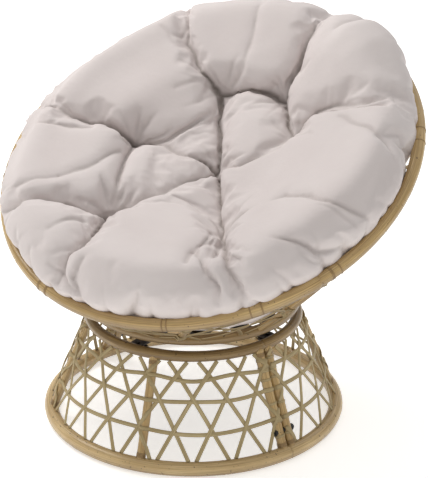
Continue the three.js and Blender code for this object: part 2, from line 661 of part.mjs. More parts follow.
// Half section of a race, from its back face to the face with the groove that the balls run in.
function raceSolid(back, side) {
  const face = raceMiddle + (side * RACE_GAP) / 2;
  const grooveHalf = Math.acos(RACE_GAP / 2 / grooveRadius);
  const corners = [[RACE_INNER_RADIUS, back], [RACE_OUTER_RADIUS, back], [RACE_OUTER_RADIUS, face]];
  for (const share of GROOVE_SHARES) {
    const turn = grooveHalf * share;
    const depth = grooveRadius * Math.cos(turn);
    corners.push([grooveCircle + grooveRadius * Math.sin(turn), raceMiddle + side * depth]);
  }
  corners.push([RACE_INNER_RADIUS, face], [RACE_INNER_RADIUS, back]);
  if (side > 0) corners.reverse();
  return turnedSolid(corners, RACE_FACETS);
}

function cageSolid() {
  const halfWidth = CAGE_WIDTH / 2;
  const low = raceMiddle - CAGE_THICKNESS / 2;
  const high = raceMiddle + CAGE_THICKNESS / 2;
  const [inside, outside] = [ballCircle - halfWidth, ballCircle + halfWidth];
  const corners = [[inside, low], [outside, low], [outside, high], [inside, high], [inside, low]];
  const ring = turnedSolid(corners, RACE_FACETS);
  const balls = Array.from({ length: BALLS }, (_, i) => {
    const ball = new THREE.IcosahedronGeometry(BALL_RADIUS, 0);
    const at = heading((TAU * i) / BALLS).multiplyScalar(ballCircle);
    ball.translate(at.x, at.y, raceMiddle);
    return solid(ball);
  });
  return wasm.Manifold.union([ring, ...balls]);
}

function pivotSolid() {
  const headTop = baseSpiderUnder - FIT;
  const nutFoot = seatSpiderTop + FIT;
  return turnedSolid(
    [
      [0, headTop - PIVOT_HEAD_RISE],
      [PIVOT_HEAD_RADIUS, headTop - PIVOT_HEAD_RISE],
      [PIVOT_HEAD_RADIUS, headTop],
      [PIVOT_RADIUS, headTop],
      [PIVOT_RADIUS, nutFoot],
      [PIVOT_HEAD_RADIUS, nutFoot],
      [PIVOT_HEAD_RADIUS, nutFoot + PIVOT_HEAD_RISE],
      [0, nutFoot + PIVOT_HEAD_RISE],
    ],
    PIVOT_FACETS,
  );
}

const baseSpider = spiderSolid(topRing, BASE_SPIDER_BEARING, baseSpiderUnder, PIVOT_RADIUS + FIT);
const pivotBore = PIVOT_RADIUS + PIVOT_CLEARANCE;
const seatSpider = spiderSolid(seatRing, SEAT_SPIDER_BEARING, seatSpiderUnder, pivotBore);
base.add(piece("base_spider", baseSpider, steelFinish));
base.add(piece("lower_race", raceSolid(raceFoot, -1), steelFinish));
base.add(piece("ball_cage", cageSolid(), steelFinish));
base.add(piece("swivel_pivot", pivotSolid(), steelFinish));
seat.add(piece("upper_race", raceSolid(raceCrest, 1), steelFinish));
seat.add(piece("seat_spider", seatSpider, steelFinish));

// A bolt with its nut, clamped over a stack of plates between two heights.
function armBoltSolid(bearing, ring, low, high) {
  const at = heading(bearing).multiplyScalar(earBoltRadius(ring));
  const up = (height) => at.clone().setZ(height);
  const [top, foot] = [high + ARM_BOLT_HEAD_RISE, low - ARM_BOLT_HEAD_RISE];
  const head = rodSolid(up(high + FIT), up(top), ARM_BOLT_HEAD_RADIUS, BOLT_SIDES);
  const nut = rodSolid(up(foot), up(low - FIT), ARM_BOLT_HEAD_RADIUS, BOLT_SIDES);
  const shank = rodSolid(up(foot), up(top), ARM_BOLT_RADIUS, BOLT_SIDES);
  return wasm.Manifold.union([shank, head, nut]);
}

armBearings(BASE_SPIDER_BEARING).forEach((bearing, i) => {
  const low = TOP_RING_HEIGHT - TOP_RING_TUBE;
  base.add(piece(`base_arm_bolt_${i + 1}`, armBoltSolid(bearing, topRing, low, baseSpiderTop), steelFinish));
});
armBearings(SEAT_SPIDER_BEARING).forEach((bearing, i) => {
  const high = seatRingHeight - SEAT_RING_TUBE + EAR_THICKNESS;
  const bolt = armBoltSolid(bearing, seatRing, seatSpiderUnder, high);
  seat.add(piece(`seat_arm_bolt_${i + 1}`, bolt, steelFinish));
});

// Seat frame: the level lower ring with its ears, the reclined rim and the ribs between them.
const seatRingSolid = ringSolid(SEAT_RING_RADIUS, SEAT_RING_TUBE, seatRingHeight, SMALL_RING_FACETS);
const seatRingCope = ringSolid(SEAT_RING_RADIUS, SEAT_RING_TUBE + FIT, seatRingHeight, SMALL_RING_FACETS);
const seatEars = armBearings(SEAT_SPIDER_BEARING).map((bearing) => earSolid(seatRing, bearing));
seat.add(piece("seat_lower_ring", wasm.Manifold.union([seatRingSolid, ...seatEars]), poleFinish));
tilted.add(piece("seat_rim", ringSolid(RIM_RADIUS, RIM_TUBE, 0, RIM_FACETS), poleFinish));

const rimCope = ringSolid(RIM_RADIUS, RIM_TUBE + FIT, 0, RIM_FACETS)
  .rotate([THREE.MathUtils.radToDeg(RECLINE), 0, 0])
  .translate(rimCentre.toArray());

// Each straight step of a rib is about as long as the others, so a short rib has fewer.
function ribArc(bearing) {
  const high = bowlSurface(bearing, 0).sub(bowlCentre);
  return high.angleTo(bowlSurface(bearing, 1).sub(bowlCentre));
}
const ribSteps = (bearing) => Math.ceil((ribArc(bearing) * bowlRadius) / RIB_STEP_LENGTH);

function ribSolid(bearing) {
  const steps = ribSteps(bearing);
  const points = Array.from({ length: steps + 1 }, (_, i) => bowlSurface(bearing, i / steps));
  const section = Array.from({ length: RIB_SIDES }, (_, i) => {
    const turn = (TAU * (i + 0.5)) / RIB_SIDES;
    return new THREE.Vector2(RIB_TUBE * Math.cos(turn), RIB_TUBE * Math.sin(turn));
  });
  const rib = new THREE.ExtrudeGeometry(new THREE.Shape(section), {
    steps,
    extrudePath: new THREE.CatmullRomCurve3(points),
  });
  return solid(rib).subtract(seatRingCope).subtract(rimCope);
}

const ribPitch = TAU / RIBS;
for (let i = 0; i < RIBS; i += 1) {
  const bearing = rad(RIB_BEARING) + i * ribPitch;
  seat.add(piece(`seat_rib_${i + 1}`, ribSolid(bearing), poleFinish));
  const from = fieldEdge(bowlSurface, bearing, RIB_TUBE + FIT, 1);
  const to = fieldEdge(bowlSurface, bearing + ribPitch, RIB_TUBE + FIT, -1);
  const { net, bend } = weaveField(bowlWeave, from, to);
  seat.add(piece(`seat_weave_${i + 1}`, net, strandFinish, bend));
}

// Cushion. Its half section runs from the middle of the dish over the crown and the drawn-in side, then
// under the seat, where it lies on the ribs. Tufts and folds pull the top down and the side in.
const cushionFoot = (rimDrop - bowlRadius) * CUSHION_FILL_SHARE;
const bedLift = -(RIB_TUBE + FIT) * BED_SLANT_SHARE;
const bulgeRadius = RIM_RADIUS + CUSHION_BULGE_OVERHANG;
const lipRadius = RIM_RADIUS - CUSHION_LIP_INSET;
const waistRadius = RIM_RADIUS - CUSHION_WAIST_INSET;
const crownRadius = RIM_RADIUS - CUSHION_CROWN_INSET;

// Where the cushion would sink into the seat's lower ring, it lies level on that ring instead.
function floorHeight(rise) {
  const level = seatRingHeight + SEAT_RING_TUBE + FIT;
  return (level - rimCentre.z - rise * Math.sin(RECLINE)) / Math.cos(RECLINE);
}

// Height of the ribs' inner faces over the rim's plane, at a bearing in that plane and a radius. The place on
// the bowl is found by turns: how far down it is, then which way. Inside the lower ring there is none.
function bedHeight(turn, radius) {
  const place = (u, v) => {
    const point = bowlSurface(u, v, bedLift).sub(rimCentre);
    const rise = point.dot(rimRise);
    return { radius: Math.hypot(point.x, rise), turn: Math.atan2(point.x, -rise), height: point.dot(rimNormal) };
  };
  let u = turn;
  let found;
  let inside;
  for (let round = 0; round < SEARCH_ROUNDS; round += 1) {
    let [near, far] = [0, 1];
    for (let step = 0; step < SEARCH_ROUNDS; step += 1) {
      const middle = (near + far) / 2;
      if (place(u, middle).radius > radius) near = middle;
      else far = middle;
    }
    inside = far === 1;
    found = place(u, far);
    const miss = THREE.MathUtils.euclideanModulo(turn - found.turn + Math.PI, TAU) - Math.PI;
    u += miss * TURN_SHARE;
  }
  return inside ? -Infinity : found.height;
}

const topSection = new THREE.SplineCurve([
  new THREE.Vector2(0, CUSHION_DISH_HEIGHT),
  new THREE.Vector2(crownRadius * DISH_SHARES[0], CUSHION_DISH_HEIGHT),
  new THREE.Vector2(crownRadius * DISH_SHARES[1], (CUSHION_CROWN_HEIGHT + CUSHION_DISH_HEIGHT) / 2),
  new THREE.Vector2(crownRadius, CUSHION_CROWN_HEIGHT),
  new THREE.Vector2((crownRadius + bulgeRadius) / 2, CUSHION_SHOULDER_HEIGHT),
  new THREE.Vector2(bulgeRadius, CUSHION_BULGE_HEIGHT),
  new THREE.Vector2(lipRadius, CUSHION_LIP_HEIGHT),
  new THREE.Vector2(waistRadius, CUSHION_WAIST_HEIGHT),
]);
const CUSHION_TOP_STEPS = 16;
const UNDER_SHARES = [0.97, 0.9, 0.8, 0.66, 0.45, 0.22];
const TURN_SHARE = 0.7;
const SECTOR_SHARES = [0, 0.12, 0.33, 0.5, 0.67, 0.88];
const SECTORS = [-148, -92, -47, -15, 37, 75, 120, 166];
const sectionLength = topSection.getLength();

// A place over the cloth, as if the cushion's top were pressed flat.
function onCloth(bearing, reachShare) {
  const reach = sectionLength * reachShare;
  return new THREE.Vector2(reach * Math.sin(bearing), -reach * Math.cos(bearing));
}

const foldEnd = ([bearing, reach, depth]) => ({ place: onCloth(rad(bearing), reach), depth });
const foldLines = FOLDS.map((ends) => ends.map(foldEnd));

// How far the folds pull a place down. Each has steep walls at its line and rounds off into the pads.
function foldedDown(spot) {
  let deepest = 0;
  for (const [from, to] of foldLines) {
    const line = to.place.clone().sub(from.place);
    const share = THREE.MathUtils.clamp(spot.clone().sub(from.place).dot(line) / line.lengthSq(), 0, 1);
    const away = spot.distanceTo(from.place.clone().addScaledVector(line, share));
    const depth = THREE.MathUtils.lerp(from.depth, to.depth, share);
    const inside = Math.max(1 - away / (FOLD_SPREAD + FOLD_SPREAD_SHARE * depth), 0);
    deepest = Math.max(deepest, depth * (1 - Math.sqrt(1 - inside ** 2)));
  }
  return deepest;
}

// How much of a change a band takes up at a reach.
function inBand(reachShare, [start, full, fade, end]) {
  const grown = THREE.MathUtils.smoothstep(reachShare, start, full);
  return grown * (1 - THREE.MathUtils.smoothstep(reachShare, fade, end));
}

// How far the edge is moved outwards and upwards at a bearing and a reach.
function edgeChange(turn, reachShare) {
  const bearing = THREE.MathUtils.euclideanModulo(THREE.MathUtils.radToDeg(turn) + 180, 360) - 180;
  const next = Math.max(EDGE_ROWS.findIndex(([at]) => at > bearing), 1);
  const [before, after] = EDGE_ROWS.slice(next - 1, next + 1);
  const share = THREE.MathUtils.inverseLerp(before[0], after[0], bearing);
  const between = (column) => THREE.MathUtils.lerp(before[column], after[column], share);
  const up = between(1) * inBand(reachShare, CROWN_BAND) + between(2) * inBand(reachShare, BULGE_RISE_BAND);
  return { out: between(3) * inBand(reachShare, BULGE_OUT_BAND), up };
}

function cushionSolid() {
  const turns = [];
  SECTORS.forEach((bearing, i) => {
    const next = i + 1 < SECTORS.length ? SECTORS[i + 1] : SECTORS[0] + 360;
    for (const share of SECTOR_SHARES) turns.push(rad(THREE.MathUtils.lerp(bearing, next, share)));
  });
  const rows = [];
  for (let i = 1; i <= CUSHION_TOP_STEPS; i += 1) {
    const reachShare = i / CUSHION_TOP_STEPS;
    const { x: radius, y: height } = topSection.getPointAt(reachShare);
    const ahead = topSection.getTangentAt(reachShare);
    rows.push(turns.map((turn) => {
      const change = edgeChange(turn, reachShare);
      const down = foldedDown(onCloth(turn, reachShare));
      const out = radius + ahead.y * down + change.out;
      const up = height - ahead.x * down + change.up;
      return new THREE.Vector3(out * Math.sin(turn), -out * Math.cos(turn), up);
    }));
  }
  for (const share of UNDER_SHARES) {
    const radius = waistRadius * share;
    rows.push(turns.map((turn) => {
      const rise = -radius * Math.cos(turn);
      const height = Math.max(bedHeight(turn, radius), cushionFoot, floorHeight(rise));
      return new THREE.Vector3(radius * Math.sin(turn), rise, height);
    }));
  }
  const middle = CUSHION_DISH_HEIGHT - foldedDown(onCloth(0, 0));
  const points = [new THREE.Vector3(0, 0, middle), ...rows.flat()];
  points.push(new THREE.Vector3(0, 0, Math.max(cushionFoot, floorHeight(0))));
  const faces = [];
  const count = turns.length;
  const last = points.length - 1;
  for (let j = 0; j < count; j += 1) {
    const k = (j + 1) % count;
    faces.push(0, 1 + j, 1 + k);
    for (let i = 0; i + 1 < rows.length; i += 1) {
      const a = 1 + i * count + j;
      const b = 1 + i * count + k;
      faces.push(a, a + count, b, b, a + count, b + count);
    }
    const foot = 1 + (rows.length - 1) * count;
    faces.push(last, foot + k, foot + j);
  }
  const geometry = new THREE.BufferGeometry().setFromPoints(points);
  geometry.setIndex(faces);
  return solid(geometry);
}

tilted.add(piece("cushion", cushionSolid(), fabricFinish));

export default chair;
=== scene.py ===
# %% [markdown]
# # A round lounge chair of bent rattan
#
# The chair has two bodies: a drum-shaped base that stands still, and a bowl seat that turns on it. The packed
# model fixes where every piece is. This lesson gives each piece its finish: bent poles with nodes and cane
# bindings, an open weave of flat reed, a steel swivel and a tufted cushion that is blown up as cloth.

# %% [markdown]
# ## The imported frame
#
# Every length below is in metres about the swivel, whose place comes from the joint, and MM turns
# millimetres into metres.

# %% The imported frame
import json
import math

import bpy
import numpy as np
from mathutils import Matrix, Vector
from mathutils.kdtree import KDTree

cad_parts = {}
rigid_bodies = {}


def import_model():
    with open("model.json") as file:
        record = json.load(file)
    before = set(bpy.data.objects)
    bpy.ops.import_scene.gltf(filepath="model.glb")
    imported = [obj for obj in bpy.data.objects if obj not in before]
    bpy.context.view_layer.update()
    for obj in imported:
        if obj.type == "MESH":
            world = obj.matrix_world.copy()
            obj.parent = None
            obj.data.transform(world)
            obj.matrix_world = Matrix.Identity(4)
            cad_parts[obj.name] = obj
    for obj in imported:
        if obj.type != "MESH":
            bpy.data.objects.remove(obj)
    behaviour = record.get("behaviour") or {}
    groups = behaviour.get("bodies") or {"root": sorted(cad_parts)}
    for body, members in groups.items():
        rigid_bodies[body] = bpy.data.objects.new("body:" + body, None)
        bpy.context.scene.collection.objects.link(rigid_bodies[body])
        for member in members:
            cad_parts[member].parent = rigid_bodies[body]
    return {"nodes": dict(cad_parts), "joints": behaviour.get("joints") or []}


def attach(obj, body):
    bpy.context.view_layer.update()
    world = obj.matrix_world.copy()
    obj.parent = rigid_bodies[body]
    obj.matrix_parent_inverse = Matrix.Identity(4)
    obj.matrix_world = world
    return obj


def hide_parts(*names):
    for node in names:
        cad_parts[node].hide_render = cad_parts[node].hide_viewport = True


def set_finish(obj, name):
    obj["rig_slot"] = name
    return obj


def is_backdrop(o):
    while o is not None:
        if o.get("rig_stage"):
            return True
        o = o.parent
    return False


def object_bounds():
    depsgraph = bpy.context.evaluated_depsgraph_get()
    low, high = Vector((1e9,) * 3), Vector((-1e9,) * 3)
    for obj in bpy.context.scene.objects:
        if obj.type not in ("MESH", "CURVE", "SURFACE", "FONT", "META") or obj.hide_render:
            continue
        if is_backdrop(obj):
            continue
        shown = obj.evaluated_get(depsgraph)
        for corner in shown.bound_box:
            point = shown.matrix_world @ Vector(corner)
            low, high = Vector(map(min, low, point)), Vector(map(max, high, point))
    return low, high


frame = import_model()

cad_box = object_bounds()
MM = 0.001
swivel = Vector(frame["joints"][0]["pos_m"])
swivel.z = 0
print("box of the packed model:", [tuple(round(c, 3) for c in corner) for corner in cad_box])

# %% [markdown]
# ## Camera
#
# A catalogue picture is taken with a long lens from a little above, so that circles stay calm ellipses. The
# lens was solved from the rings of the base, and is stated here in pixels of the picture.

# %% Camera
PICTURE_WIDTH, PICTURE_HEIGHT = 428, 478
LENS_PIXELS = 1886.4
CAMERA_PLACE = Vector((2.071, -3.453, 2.126)) + swivel
CAMERA_AIM = Vector((0.0417, 0.0250, 0.4313)) + swivel
scene = bpy.context.scene


def add_object(name, data):
    """A new object in the scene that shows a camera, a lamp or a mesh."""
    made = bpy.data.objects.new(name, data)
    scene.collection.objects.link(made)
    return made


def aim(thing, place, target):
    """Puts a camera or lamp at a place and turns it to its target."""
    thing.location = place
    thing.rotation_euler = (Vector(target) - Vector(place)).to_track_quat("-Z", "Y").to_euler()


camera_data = bpy.data.cameras.new("camera")
camera_data.sensor_width = 36
camera_data.lens = camera_data.sensor_width * LENS_PIXELS / max(PICTURE_WIDTH, PICTURE_HEIGHT)
scene.camera = add_object("camera", camera_data)
aim(scene.camera, CAMERA_PLACE, CAMERA_AIM)
print(f"lens {camera_data.lens:.1f} mm at {(CAMERA_AIM - CAMERA_PLACE).length:.2f} m")

# %% [markdown]
# ## Colours and shader nodes
#
# Blender's shaders work with linear light, while colours are easier to judge as sRGB codes. One function
# turns the codes, and one adds any kind of node, so that every material below reads as a list of its
# parts.


# %% Colours and shader nodes
def linear(hex_colour):
    """An sRGB colour such as #c8a878 as the linear values that Blender's shaders work with."""
    shares = [int(hex_colour[i:i + 2], 16) / 255 for i in (1, 3, 5)]
    return [c / 12.92 if c <= 0.04045 else ((c + 0.055) / 1.055) ** 2.4 for c in shares] + [1]


def feed(tree, node, sockets):
    """Feeds each socket with a number, a colour code, another node's socket or its first output."""
    for name, source in sockets.items():
        if isinstance(source, bpy.types.Node):
            source = source.outputs[0]
        if isinstance(source, bpy.types.NodeSocket):
            tree.links.new(source, node.inputs[name])
        else:
            node.inputs[name].default_value = linear(source) if isinstance(source, str) else source


def add(tree, kind, sockets=None, **settings):
    """One shader node with its settings, and with what feeds its sockets."""
    made = tree.nodes.new(kind)
    for name, value in settings.items():
        setattr(made, name, value)
    feed(tree, made, sockets or {})
    return made


def blank_material(name):
    """A new material, its tree and its shader, wired to the output."""
    material = bpy.data.materials.new(name)
    material.use_nodes = True
    tree = material.node_tree
    tree.nodes.clear()
    shader = add(tree, "ShaderNodeBsdfPrincipled")
    add(tree, "ShaderNodeOutputMaterial", {"Surface": shader})
    return material, tree, shader


MIX_FACTOR, MIX_A, MIX_B, MIX_RESULT = 0, 6, 7, 2


def stained(tree, colour, *stains):
    """A colour with stains laid over it one by one, each by its mask and its own colour."""
    for mask, stain in stains:
        sockets = {MIX_FACTOR: mask, MIX_A: colour, MIX_B: stain}
        colour = add(tree, "ShaderNodeMix", sockets, data_type="RGBA").outputs[MIX_RESULT]
    return colour


print("linear value of #808080:", round(linear("#808080")[0], 4))

# %% [markdown]
# ## Floor and world
#
# The picture is cut out on white. A floor that glows a little stays white under the chair, and with a nearly
# white world it fills the shadows from below, as a light table does.

# %% Floor and world
FLOOR_HALF, FLOOR_SINK = 30.0, 0.5 * MM
FLOOR_GLOW, SKY_STRENGTH = 0.56, 0.6


def mesh_of(name, points, faces):
    """A new mesh from its points and faces."""
    mesh = bpy.data.meshes.new(name)
    mesh.from_pydata(points, [], faces)
    return mesh


corners = [(x * FLOOR_HALF, y * FLOOR_HALF, 0) for x, y in ((-1, -1), (1, -1), (1, 1), (-1, 1))]
floor = add_object("studio_floor", mesh_of("floor", corners, [(0, 1, 2, 3)]))
floor.location.z = -FLOOR_SINK
floor_paint, tree, shader = blank_material("matt_white_studio_floor")
floor_grain = add(tree, "ShaderNodeTexNoise", {"Scale": 2.0, "Detail": 3.0})
white = stained(tree, "#fbfaf8", (floor_grain, "#fdfdfc"))
feed(tree, shader, {"Base Color": white, "Roughness": 0.9})
feed(tree, shader, {"Emission Color": white, "Emission Strength": FLOOR_GLOW})
floor.data.materials.append(floor_paint)
floor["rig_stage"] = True

scene.world = bpy.data.worlds.new("soft_studio")
scene.world.use_nodes = True
tree = scene.world.node_tree
way = add(tree, "ShaderNodeSeparateXYZ", {0: add(tree, "ShaderNodeTexCoord").outputs["Generated"]})
upward = add(tree, "ShaderNodeMapRange", {"Value": way.outputs[2], "From Min": -0.1, "From Max": 0.9})
sky = stained(tree, "#bcbbba", (upward, "#fffefc"))
feed(tree, tree.nodes["Background"], {"Color": sky, "Strength": SKY_STRENGTH})
scene.view_settings.view_transform = "Standard"
print("the world is brightest overhead")

# %% [markdown]
# ## Lights
#
# One large panel hangs above the chair's left side. The pads that face up and left are brightest in the
# picture, and those at the right edge darkest. A faint panel from behind rounds off the top.

# %% Lights
SEAT_MIDDLE = (0, 0, 0.6)


def panel(name, place, width, height, watts, colour):
    """A flat soft light that points at the middle of the seat."""
    data = bpy.data.lights.new(name, "AREA")
    data.shape = "RECTANGLE"
    data.size, data.size_y = width, height
    data.energy = watts
    data.color = linear(colour)[:3]
    aim(add_object(name, data), place, SEAT_MIDDLE)


panel("key_panel", (-1.9, 0.1, 3.2), 1.8, 1.8, 62, "#fffcfa")
panel("rear_panel", (0.6, 2.6, 2.6), 2.6, 1.6, 8, "#f6f9ff")

# %% [markdown]
# ## Where the rings, the skirt and the bowl are
#
# All routes follow two surfaces. The skirt is a cone from the upper ring of the base to the ring on the
# floor. The bowl runs from the reclined rim down to the level lower ring of the seat. It is nearly
# straight between them, and bows out by a share of what a sphere through both rings does. A place on them
# is a bearing about the swivel, counted from the front towards +X, a share of the way down, and a lift off
# the surface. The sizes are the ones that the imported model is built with.

# %% Rings and surfaces
FLOOR_RING, FLOOR_TUBE, FLOOR_HEIGHT = 340 * MM, 16.5 * MM, 16.5 * MM
TOP_RING, TOP_TUBE, TOP_HEIGHT = 244 * MM, 12.5 * MM, 249.5 * MM
SEAT_RING, SEAT_TUBE, SEAT_HEIGHT = 240.5 * MM, 12.5 * MM, 289 * MM
RIM_RING, RIM_TUBE, RECLINE = 490 * MM, 14.6 * MM, math.radians(28.5)
# The sphere's middle is over the rim's by this share of the rim's radius, and the bowl bows out by a quarter.
DROP_SHARE, BOW_SHARE = 0.31, 0.25
BOWL_RADIUS = RIM_RING * math.hypot(1, DROP_SHARE)
UP = Vector((0, 0, 1))

bowl_centre = swivel + UP * (SEAT_HEIGHT + math.sqrt(BOWL_RADIUS ** 2 - SEAT_RING ** 2))
rim_normal = Vector((0, -math.sin(RECLINE), math.cos(RECLINE)))
rim_rise = Vector((0, math.cos(RECLINE), math.sin(RECLINE)))
rim_drop = math.sqrt(BOWL_RADIUS ** 2 - RIM_RING ** 2)
rim_centre = bowl_centre - rim_normal * rim_drop
skirt_fall = Vector((FLOOR_RING - TOP_RING, FLOOR_HEIGHT - TOP_HEIGHT))
skirt_out = Vector((-skirt_fall.y, skirt_fall.x)).normalized()
skirt_slope = skirt_fall.length


def heading(bearing):
    return Vector((math.sin(bearing), -math.cos(bearing), 0))


def skirt_place(bearing, share, lift=0.0):
    radius = TOP_RING + skirt_fall.x * share + skirt_out.x * lift
    height = TOP_HEIGHT + skirt_fall.y * share + skirt_out.y * lift
    return swivel + heading(bearing) * radius + UP * height


def rim_place(bearing):
    """A place on the rim's own circle."""
    across, rise = RIM_RING * math.sin(bearing), -RIM_RING * math.cos(bearing)
    return rim_centre + Vector((across, 0, 0)) + rim_rise * rise


def bowl_place(bearing, share, lift=0.0):
    high = rim_place(bearing) - bowl_centre
    low = heading(bearing) * SEAT_RING + swivel + UP * SEAT_HEIGHT - bowl_centre
    arc = high.angle(low)
    out = (high * math.sin((1 - share) * arc) + low * math.sin(share * arc)).normalized()
    return bowl_centre + high.lerp(low, share).lerp(out * BOWL_RADIUS, BOW_SHARE) + out * lift


# %% [markdown]
# ## Sweeping poles and flat reed
#
# A pole and a reed are the same job: one small outline carried along a path. The outline is placed square to
# the path, with one side turned outwards, and the rings of points are joined by quads. The mesh also gets a
# flat map in metres, along the path and round the outline, so that grain can run with the pole at its real
# size.


# %% The sweep
class Sweeper:
    """Collects swept shapes into one mesh with a map in metres."""

    def __init__(self):
        self.points, self.faces, self.places = [], [], []

    def sweep(self, path, outward, outline, closed=False, scales=None):
        """Carries an outline of (aside, out) points along a path, turned outwards at each point."""
        path = np.array([tuple(p) for p in path])
        outward = np.array([tuple(o) for o in outward])
        count, around = len(path), len(outline)
        after = np.roll(path, -1, 0) if closed else np.vstack([path[1:], 2 * path[-1] - path[-2]])
        before = np.roll(path, 1, 0) if closed else np.vstack([2 * path[0] - path[1], path[:-1]])
        ahead = after - before
        ahead /= np.linalg.norm(ahead, axis=1)[:, None]
        out = outward - ahead * np.sum(outward * ahead, 1)[:, None]
        out /= np.linalg.norm(out, axis=1)[:, None]
        aside = np.cross(ahead, out)
        shape = np.array(outline)
        sizes = np.ones(count) if scales is None else np.array(scales)
        grown = shape[None, :, :, None] * sizes[:, None, None, None]
        rings = path[:, None] + aside[:, None] * grown[:, :, 0] + out[:, None] * grown[:, :, 1]
        start = len(self.points)
        self.points.extend(rings.reshape(-1, 3).tolist())
        steps = np.linalg.norm(np.roll(path, -1, 0) - path, axis=1)
        along = np.concatenate([[0], np.cumsum(steps)])
        edge = np.linalg.norm(np.roll(shape, -1, 0) - shape, axis=1)
        girth = np.concatenate([[0], np.cumsum(edge)])
        for i in range(count if closed else count - 1):
            here, there = start + i * around, start + (i + 1) % count * around
            for k in range(around):
                m = (k + 1) % around
                self.faces.append([here + k, here + m, there + m, there + k])
                corners = ((i, k), (i, k + 1), (i + 1, k + 1), (i + 1, k))
                self.places.append([(along[a], girth[g]) for a, g in corners])
        caps = [] if closed else [(0, -1), (count - 1, 1)]
        for ring, turn in caps:
            self.faces.append([start + ring * around + k for k in range(around)][::turn])
            self.places.append([(along[ring] + out, across) for across, out in shape][::turn])

    def make(self, name, material, body, slot, replaced=()):
        """The collected mesh as a piece that rides on a body."""
        mesh = mesh_of(name, self.points, self.faces)
        layer = mesh.uv_layers.new(name="metres")
        layer.data.foreach_set("uv", np.array([c for face in self.places for c in face]).ravel())
        mesh.shade_smooth()
        mesh.materials.append(material)
        return dress(add_object(name, mesh), body, slot, replaced)


def dress(piece, body, slot, replaced=()):
    """Fastens a finished piece to its body, names its finish and hides the solids it stands for."""
    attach(piece, body)
    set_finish(piece, slot)
    if replaced:
        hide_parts(*replaced)
    return piece


# %% [markdown]
# ## Outlines
#
# Poles are round. A reed is split from a cane and planed flat, so its long edges are soft.


# %% Outlines
def round_outline(radius, sides):
    """A circle that starts at its inner side, where the map's seam is least seen."""
    turns = [math.tau * i / sides for i in range(sides)]
    return [(radius * math.sin(t), -radius * math.cos(t)) for t in turns]


def flat_outline(width, thickness):
    """A flat reed's section: a rectangle with soft long edges and a slightly crowned outer face."""
    half, thin = width / 2, thickness / 2
    corner, crown = thickness * 0.42, thin * 1.06
    right = [(half, thin - corner), (half - corner, thin)]
    upper = right + [(0, crown)] + [(-across, out) for across, out in right[::-1]]
    return upper + [(across, -out) for across, out in upper[::-1] if across]


print("a reed's outline has", len(flat_outline(7.5 * MM, 1.8 * MM)), "points")

# %% [markdown]
# ## Rattan
#
# The poles are peeled rattan: long pale fibres under a thin lacquer, darker where the skin was scraped
# less, with a few dark pores. The reed of the weave is split from the core of the same cane. It is greyer,
# dry and matt. In both, the fibres run along the piece, so the noise is stretched along the map. Faces
# that point down are painted a darker brown, as painted shade under each piece. Lacquered wood reflects
# like a plastic, with an IOR of about 1.5.

# %% Rattan materials
# Painted shade: faces that point down are stained towards this brown.
PAINTED_UNDERSIDE_SHADE = "#4c3518"


def cane_material(name, light, dark, pore, fibre, streak, roughness, coat, pore_share):
    """Cane with fibres of a width and a streak length in mm, between a light and a dark colour."""
    material, tree, shader = blank_material(name)
    flat_map = add(tree, "ShaderNodeUVMap", uv_map="metres")
    per_metre = (1 / (streak * MM), 1 / (fibre * MM), 1)
    stretch = add(tree, "ShaderNodeMapping", {"Vector": flat_map, "Scale": per_metre})
    grain = {"Vector": stretch, "Scale": 1.0, "Detail": 4.0, "Roughness": 0.6}
    fibres = add(tree, "ShaderNodeTexNoise", grain)
    place = add(tree, "ShaderNodeTexCoord")
    facing = add(tree, "ShaderNodeSeparateXYZ", {0: place.outputs["Normal"]})
    cloud, pores = (
        add(tree, "ShaderNodeTexNoise", {"Vector": place.outputs["Object"], "Scale": scale, "Detail": detail})
        for scale, detail in ((9.0, 3.0), (150.0, 1.0))
    )
    # Each mask: what it is made from, where it begins and is full, and how much it covers then.
    cloudy, fibrous, porous, below = (
        add(tree, "ShaderNodeMapRange", {"Value": value, "From Min": begin, "From Max": full, "To Max": most})
        for value, begin, full, most in (
            (cloud, 0.35, 0.7, 0.55),
            (fibres, 0.34, 0.68, 1.0),
            (pores, pore_share, pore_share + 0.05, 0.75),
            # The last mask is painted shade: the more a face points down, the darker it is painted.
            (facing.outputs[2], 0.25, -0.75, 0.7),
        )
    )
    worn = stained(tree, light, (cloudy, dark))
    rough = {"Value": fibres, "To Min": roughness - 0.08, "To Max": roughness + 0.12}
    relief = {"Height": fibres, "Strength": 0.35, "Distance": 0.4 * MM}
    feed(tree, shader, {
        "Base Color": stained(tree, dark, (fibrous, worn), (porous, pore), (below, PAINTED_UNDERSIDE_SHADE)),
        "Roughness": add(tree, "ShaderNodeMapRange", rough),
        "Normal": add(tree, "ShaderNodeBump", relief),
        "IOR": 1.5,
        "Coat Weight": coat,
        "Coat Roughness": 0.24,
    })
    return material


# %% [markdown]
# ## Five kinds of cane
#
# The poles are honey-coloured with a thin lacquer. The ring on the floor is paler and worn, with dark nicks.
# The two rings of the swivel take a darker copy of the pole's cane, as painted shade from the bowl above them.
# The reed has no lacquer at all, and the skin that binds the joints is the shiny outside of the cane.

# %% Five kinds of cane
# Name, light and dark colour, pores, fibre and streak in mm, roughness, coat, and where pores begin.
CANES = [
    ("lacquered_rattan_pole", "#e4c689", "#a28250", "#4a3620", 2.6, 160, 0.38, 0.45, 0.72),
    ("worn_rattan_pole", "#f0d5a0", "#b49664", "#3a2a1b", 2.6, 140, 0.42, 0.35, 0.685),
    # A darker copy of the pole cane: painted shade for the rings under the bowl.
    ("rattan_pole_painted_shade", "#b59760", "#775d35", "#3a2a1b", 2.6, 150, 0.42, 0.35, 0.7),
    ("split_rattan_reed", "#cfbd92", "#a08d62", "#5d4f33", 1.6, 90, 0.58, 0.0, 0.76),
    ("cane_skin_binding", "#c3a470", "#86693f", "#4a3620", 1.2, 60, 0.42, 0.25, 0.76),
]
lacquered_pole, floor_pole, painted_shade_pole, split_reed, cane_binding = (cane_material(*row) for row in CANES)
print("rattan finishes:", *(row[0] for row in CANES))

